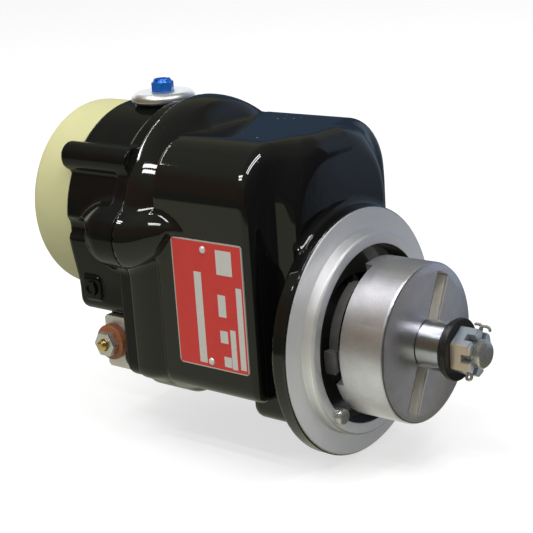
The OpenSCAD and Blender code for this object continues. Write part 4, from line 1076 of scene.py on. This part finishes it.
plain("satin_lid", (3,), (0.66, 0.66, 0.68), (0.74, 0.74, 0.76), (0.5, 0.34, 0.44), (0.4, 0.08, 0.02),
      Metallic=1.0)
plain("soft_rivet", (1,), (0.70, 0.69, 0.67), (0.85, 0.84, 0.82), (1, 0.3, 0.42), Metallic=0.4)
plain("black_oxide", (2,), (0.012, 0.012, 0.012), (0.03, 0.03, 0.03), (1.5, 0.26, 0.4), Metallic=0.3)
plain("pale_bracket", (2, 3), (0.72, 0.70, 0.65), (0.85, 0.84, 0.80), (1, 0.32, 0.5), Metallic=0.55)
plain("brass", (2,), (0.62, 0.42, 0.15), (0.76, 0.56, 0.24), (1, 0.2, 0.34), Metallic=1.0)
print(len(FINISHES), "finishes with the metals")

# %% [markdown]
# ## Plastics and inner parts
# Moulded parts are matt and coloured through: the cap, the brown bush, the gears. The parts inside are
# seen only when the part is taken to pieces, but they get varied finishes of their own as well.

# %% Plastics and inner parts
plain("cap_plastic", (12, 3), (0.58, 0.565, 0.28), (0.64, 0.62, 0.33), (4, 0.42, 0.55), (1.5, 0.08, 0.03))
plain("brown_phenolic", (1.2, 3), (0.27, 0.085, 0.03), (0.42, 0.16, 0.065), (1, 0.3, 0.45))
plain("black_rubber", (2,), (0.012, 0.012, 0.012), (0.025, 0.025, 0.025), (1, 0.5, 0.65))
plain("dark_red_block", (3,), (0.10, 0.012, 0.01), (0.15, 0.02, 0.016), (2, 0.3, 0.42))
plain("nylon_gear", (4,), (0.66, 0.61, 0.46), (0.74, 0.70, 0.56), (2, 0.4, 0.5))
plain("magnet_grey", (1.5, 4), (0.09, 0.09, 0.09), (0.17, 0.17, 0.16), (1, 0.45, 0.6), Metallic=0.6)
plain("pressed_carbon", (0.8, 3), (0.02, 0.02, 0.02), (0.05, 0.05, 0.05), (0.6, 0.5, 0.65))

SHEET_WAVE, TURN_WAVE = 14.0, 12.0
f = Finish("stacked_sheet")
sheets = (f.x * SHEET_WAVE).sine()
f.end(Base_Color=f.mix(sheets.rise(-1, 1), (0.20, 0.20, 0.21), (0.42, 0.42, 0.44)), Metallic=0.9,
      Roughness=f.vary(1, 0.35, 0.5), Normal=f.bump(sheets, 0.3, 0.05))

f = Finish("varnished_winding")
turns = (f.y * TURN_WAVE).sine()
f.end(Base_Color=f.mix(turns.rise(-1, 1), (0.11, 0.03, 0.015), (0.24, 0.075, 0.03)),
      Roughness=f.vary(2, 0.25, 0.4), Normal=f.bump(turns, 0.3, 0.06))
print(len(FINISHES), "finishes in all")

# %% [markdown]
# ## Who wears what
# Every slot of the record has its usual finish, of its own name if none is listed. A few pieces differ
# from their slot, because the same steel is blasted on the coupling, polished on the sleeve and dull
# inside. The second table names those.

# %% Dressing
BY_SLOT = {
    "black_casting": "gloss_black", "cover_metal": "satin_lid", "blue_screw": "blue_anodised",
    "black_steel": "black_oxide", "zinc_steel": "zinc_nut", "rubber": "black_rubber",
    "phenolic": "brown_phenolic", "magnet": "magnet_grey", "laminated_steel": "stacked_sheet",
    "winding": "varnished_winding", "spring_steel": "dark_steel", "gear_plastic": "nylon_gear",
    "carbon": "pressed_carbon",
}
BY_PIECE = {
    "housing_casting": "housing_black", "vent_plug_dressed": "housing_black", "flange_ring": "bare_flange",
    "coupling_body_dressed": "coupling_steel", "coupling_hub_dressed": "polished_sleeve",
    "flyweight_a_dressed": "dark_steel", "flyweight_b_dressed": "dark_steel",
    "condenser_bracket_dressed": "pale_bracket", "plate_rivets_dressed": "soft_rivet",
    "distributor_block": "dark_red_block",
}
shown = [o for o in bpy.data.objects if o.type == "MESH" and not o.hide_render and o is not floor]
for piece in shown:
    slot = piece.get("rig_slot") or SLOT_OF[piece.name]
    finish = FINISHES[BY_PIECE.get(piece.name, BY_SLOT.get(slot, slot))]
    if not piece.material_slots:
        piece.data.materials.append(finish)
    for material_slot in piece.material_slots:
        material_slot.material = finish
print(len(shown), "pieces dressed in", len({o.material_slots[0].material.name for o in shown}), "finishes")

# %% [markdown]
# ## Light for the bare metal
# Turned and blasted metal is brighter than its smooth model, because its fine grooves gather light
# from all round. A few wide dim panels make up for that. They are linked to the metal pieces alone, so
# the black paint keeps its dark room. The strip lamps get their own pieces here as well: the small
# bright parts at the shaft's end would sparkle under them and are lit by panels only.

# %% Panels
def only_on(lamp, pieces):
    """Lets a lamp light some pieces and no others."""
    group = bpy.data.collections.new(lamp.name)
    for piece in pieces:
        group.objects.link(piece)
    lamp.light_linking.receiver_collection = group
    return lamp


castings = [frame_casting, housing_casting]
for lamp in hung:
    only_on(lamp, castings if lamp.name != "hung_left" else [frame_casting])
shaft_end = [castle_nut, split_pin, threaded_shaft]
for lamp in keys:
    only_on(lamp, [floor] + [piece for piece in shown if piece not in castings + shaft_end])


PANEL_AWAY = 1.2


def panel(name, towards, side, brightness, colour, pieces):
    """A wide square lamp in a direction from the object, that lights only some pieces."""
    direction = Vector(towards).normalized()
    axes = direction.to_track_quat("Z", "Y").to_matrix()
    lamp = area_lamp(name, side, side, brightness, direction * PANEL_AWAY, axes)
    lamp.data.color = colour
    return only_on(lamp, pieces)


METALS = ("bare_flange", "coupling_steel", "polished_sleeve", "bright_steel", "dark_steel", "zinc_nut",
          "satin_lid", "brass")
metal = {name: [o for o in shown if o.material_slots[0].material.name == name] for name in METALS}
turned_metal = metal["bare_flange"] + metal["bright_steel"] + metal["zinc_nut"]
dull_metal = metal["coupling_steel"] + metal["dark_steel"] + metal["polished_sleeve"] + metal["brass"]
panel("panel_front", (0.85, 0.30, -0.32), 1.6, 0.52, (1, 1, 1), turned_metal)
panel("panel_face", (0.62, 0.66, -0.2), 1.4, 0.20, (1, 0.98, 0.95), dull_metal)
panel("panel_low", (-0.1, -0.75, -0.6), 1.2, 0.45, (0.93, 0.95, 1), metal["bare_flange"] + dull_metal)
panel("panel_under", (-0.5, 0.55, -0.6), 1.0, 0.65, (0.95, 0.96, 1), dull_metal)
panel("panel_above", (-0.5, 0.1, 0.85), 1.2, 0.45, (0.85, 0.93, 1), shaft_end)
panel("panel_rear", (-0.6, 0.72, 0.3), 1.2, 1.2, (0.95, 0.98, 1), metal["satin_lid"])
print("the panels light", sum(len(group) for group in metal.values()), "metal pieces")
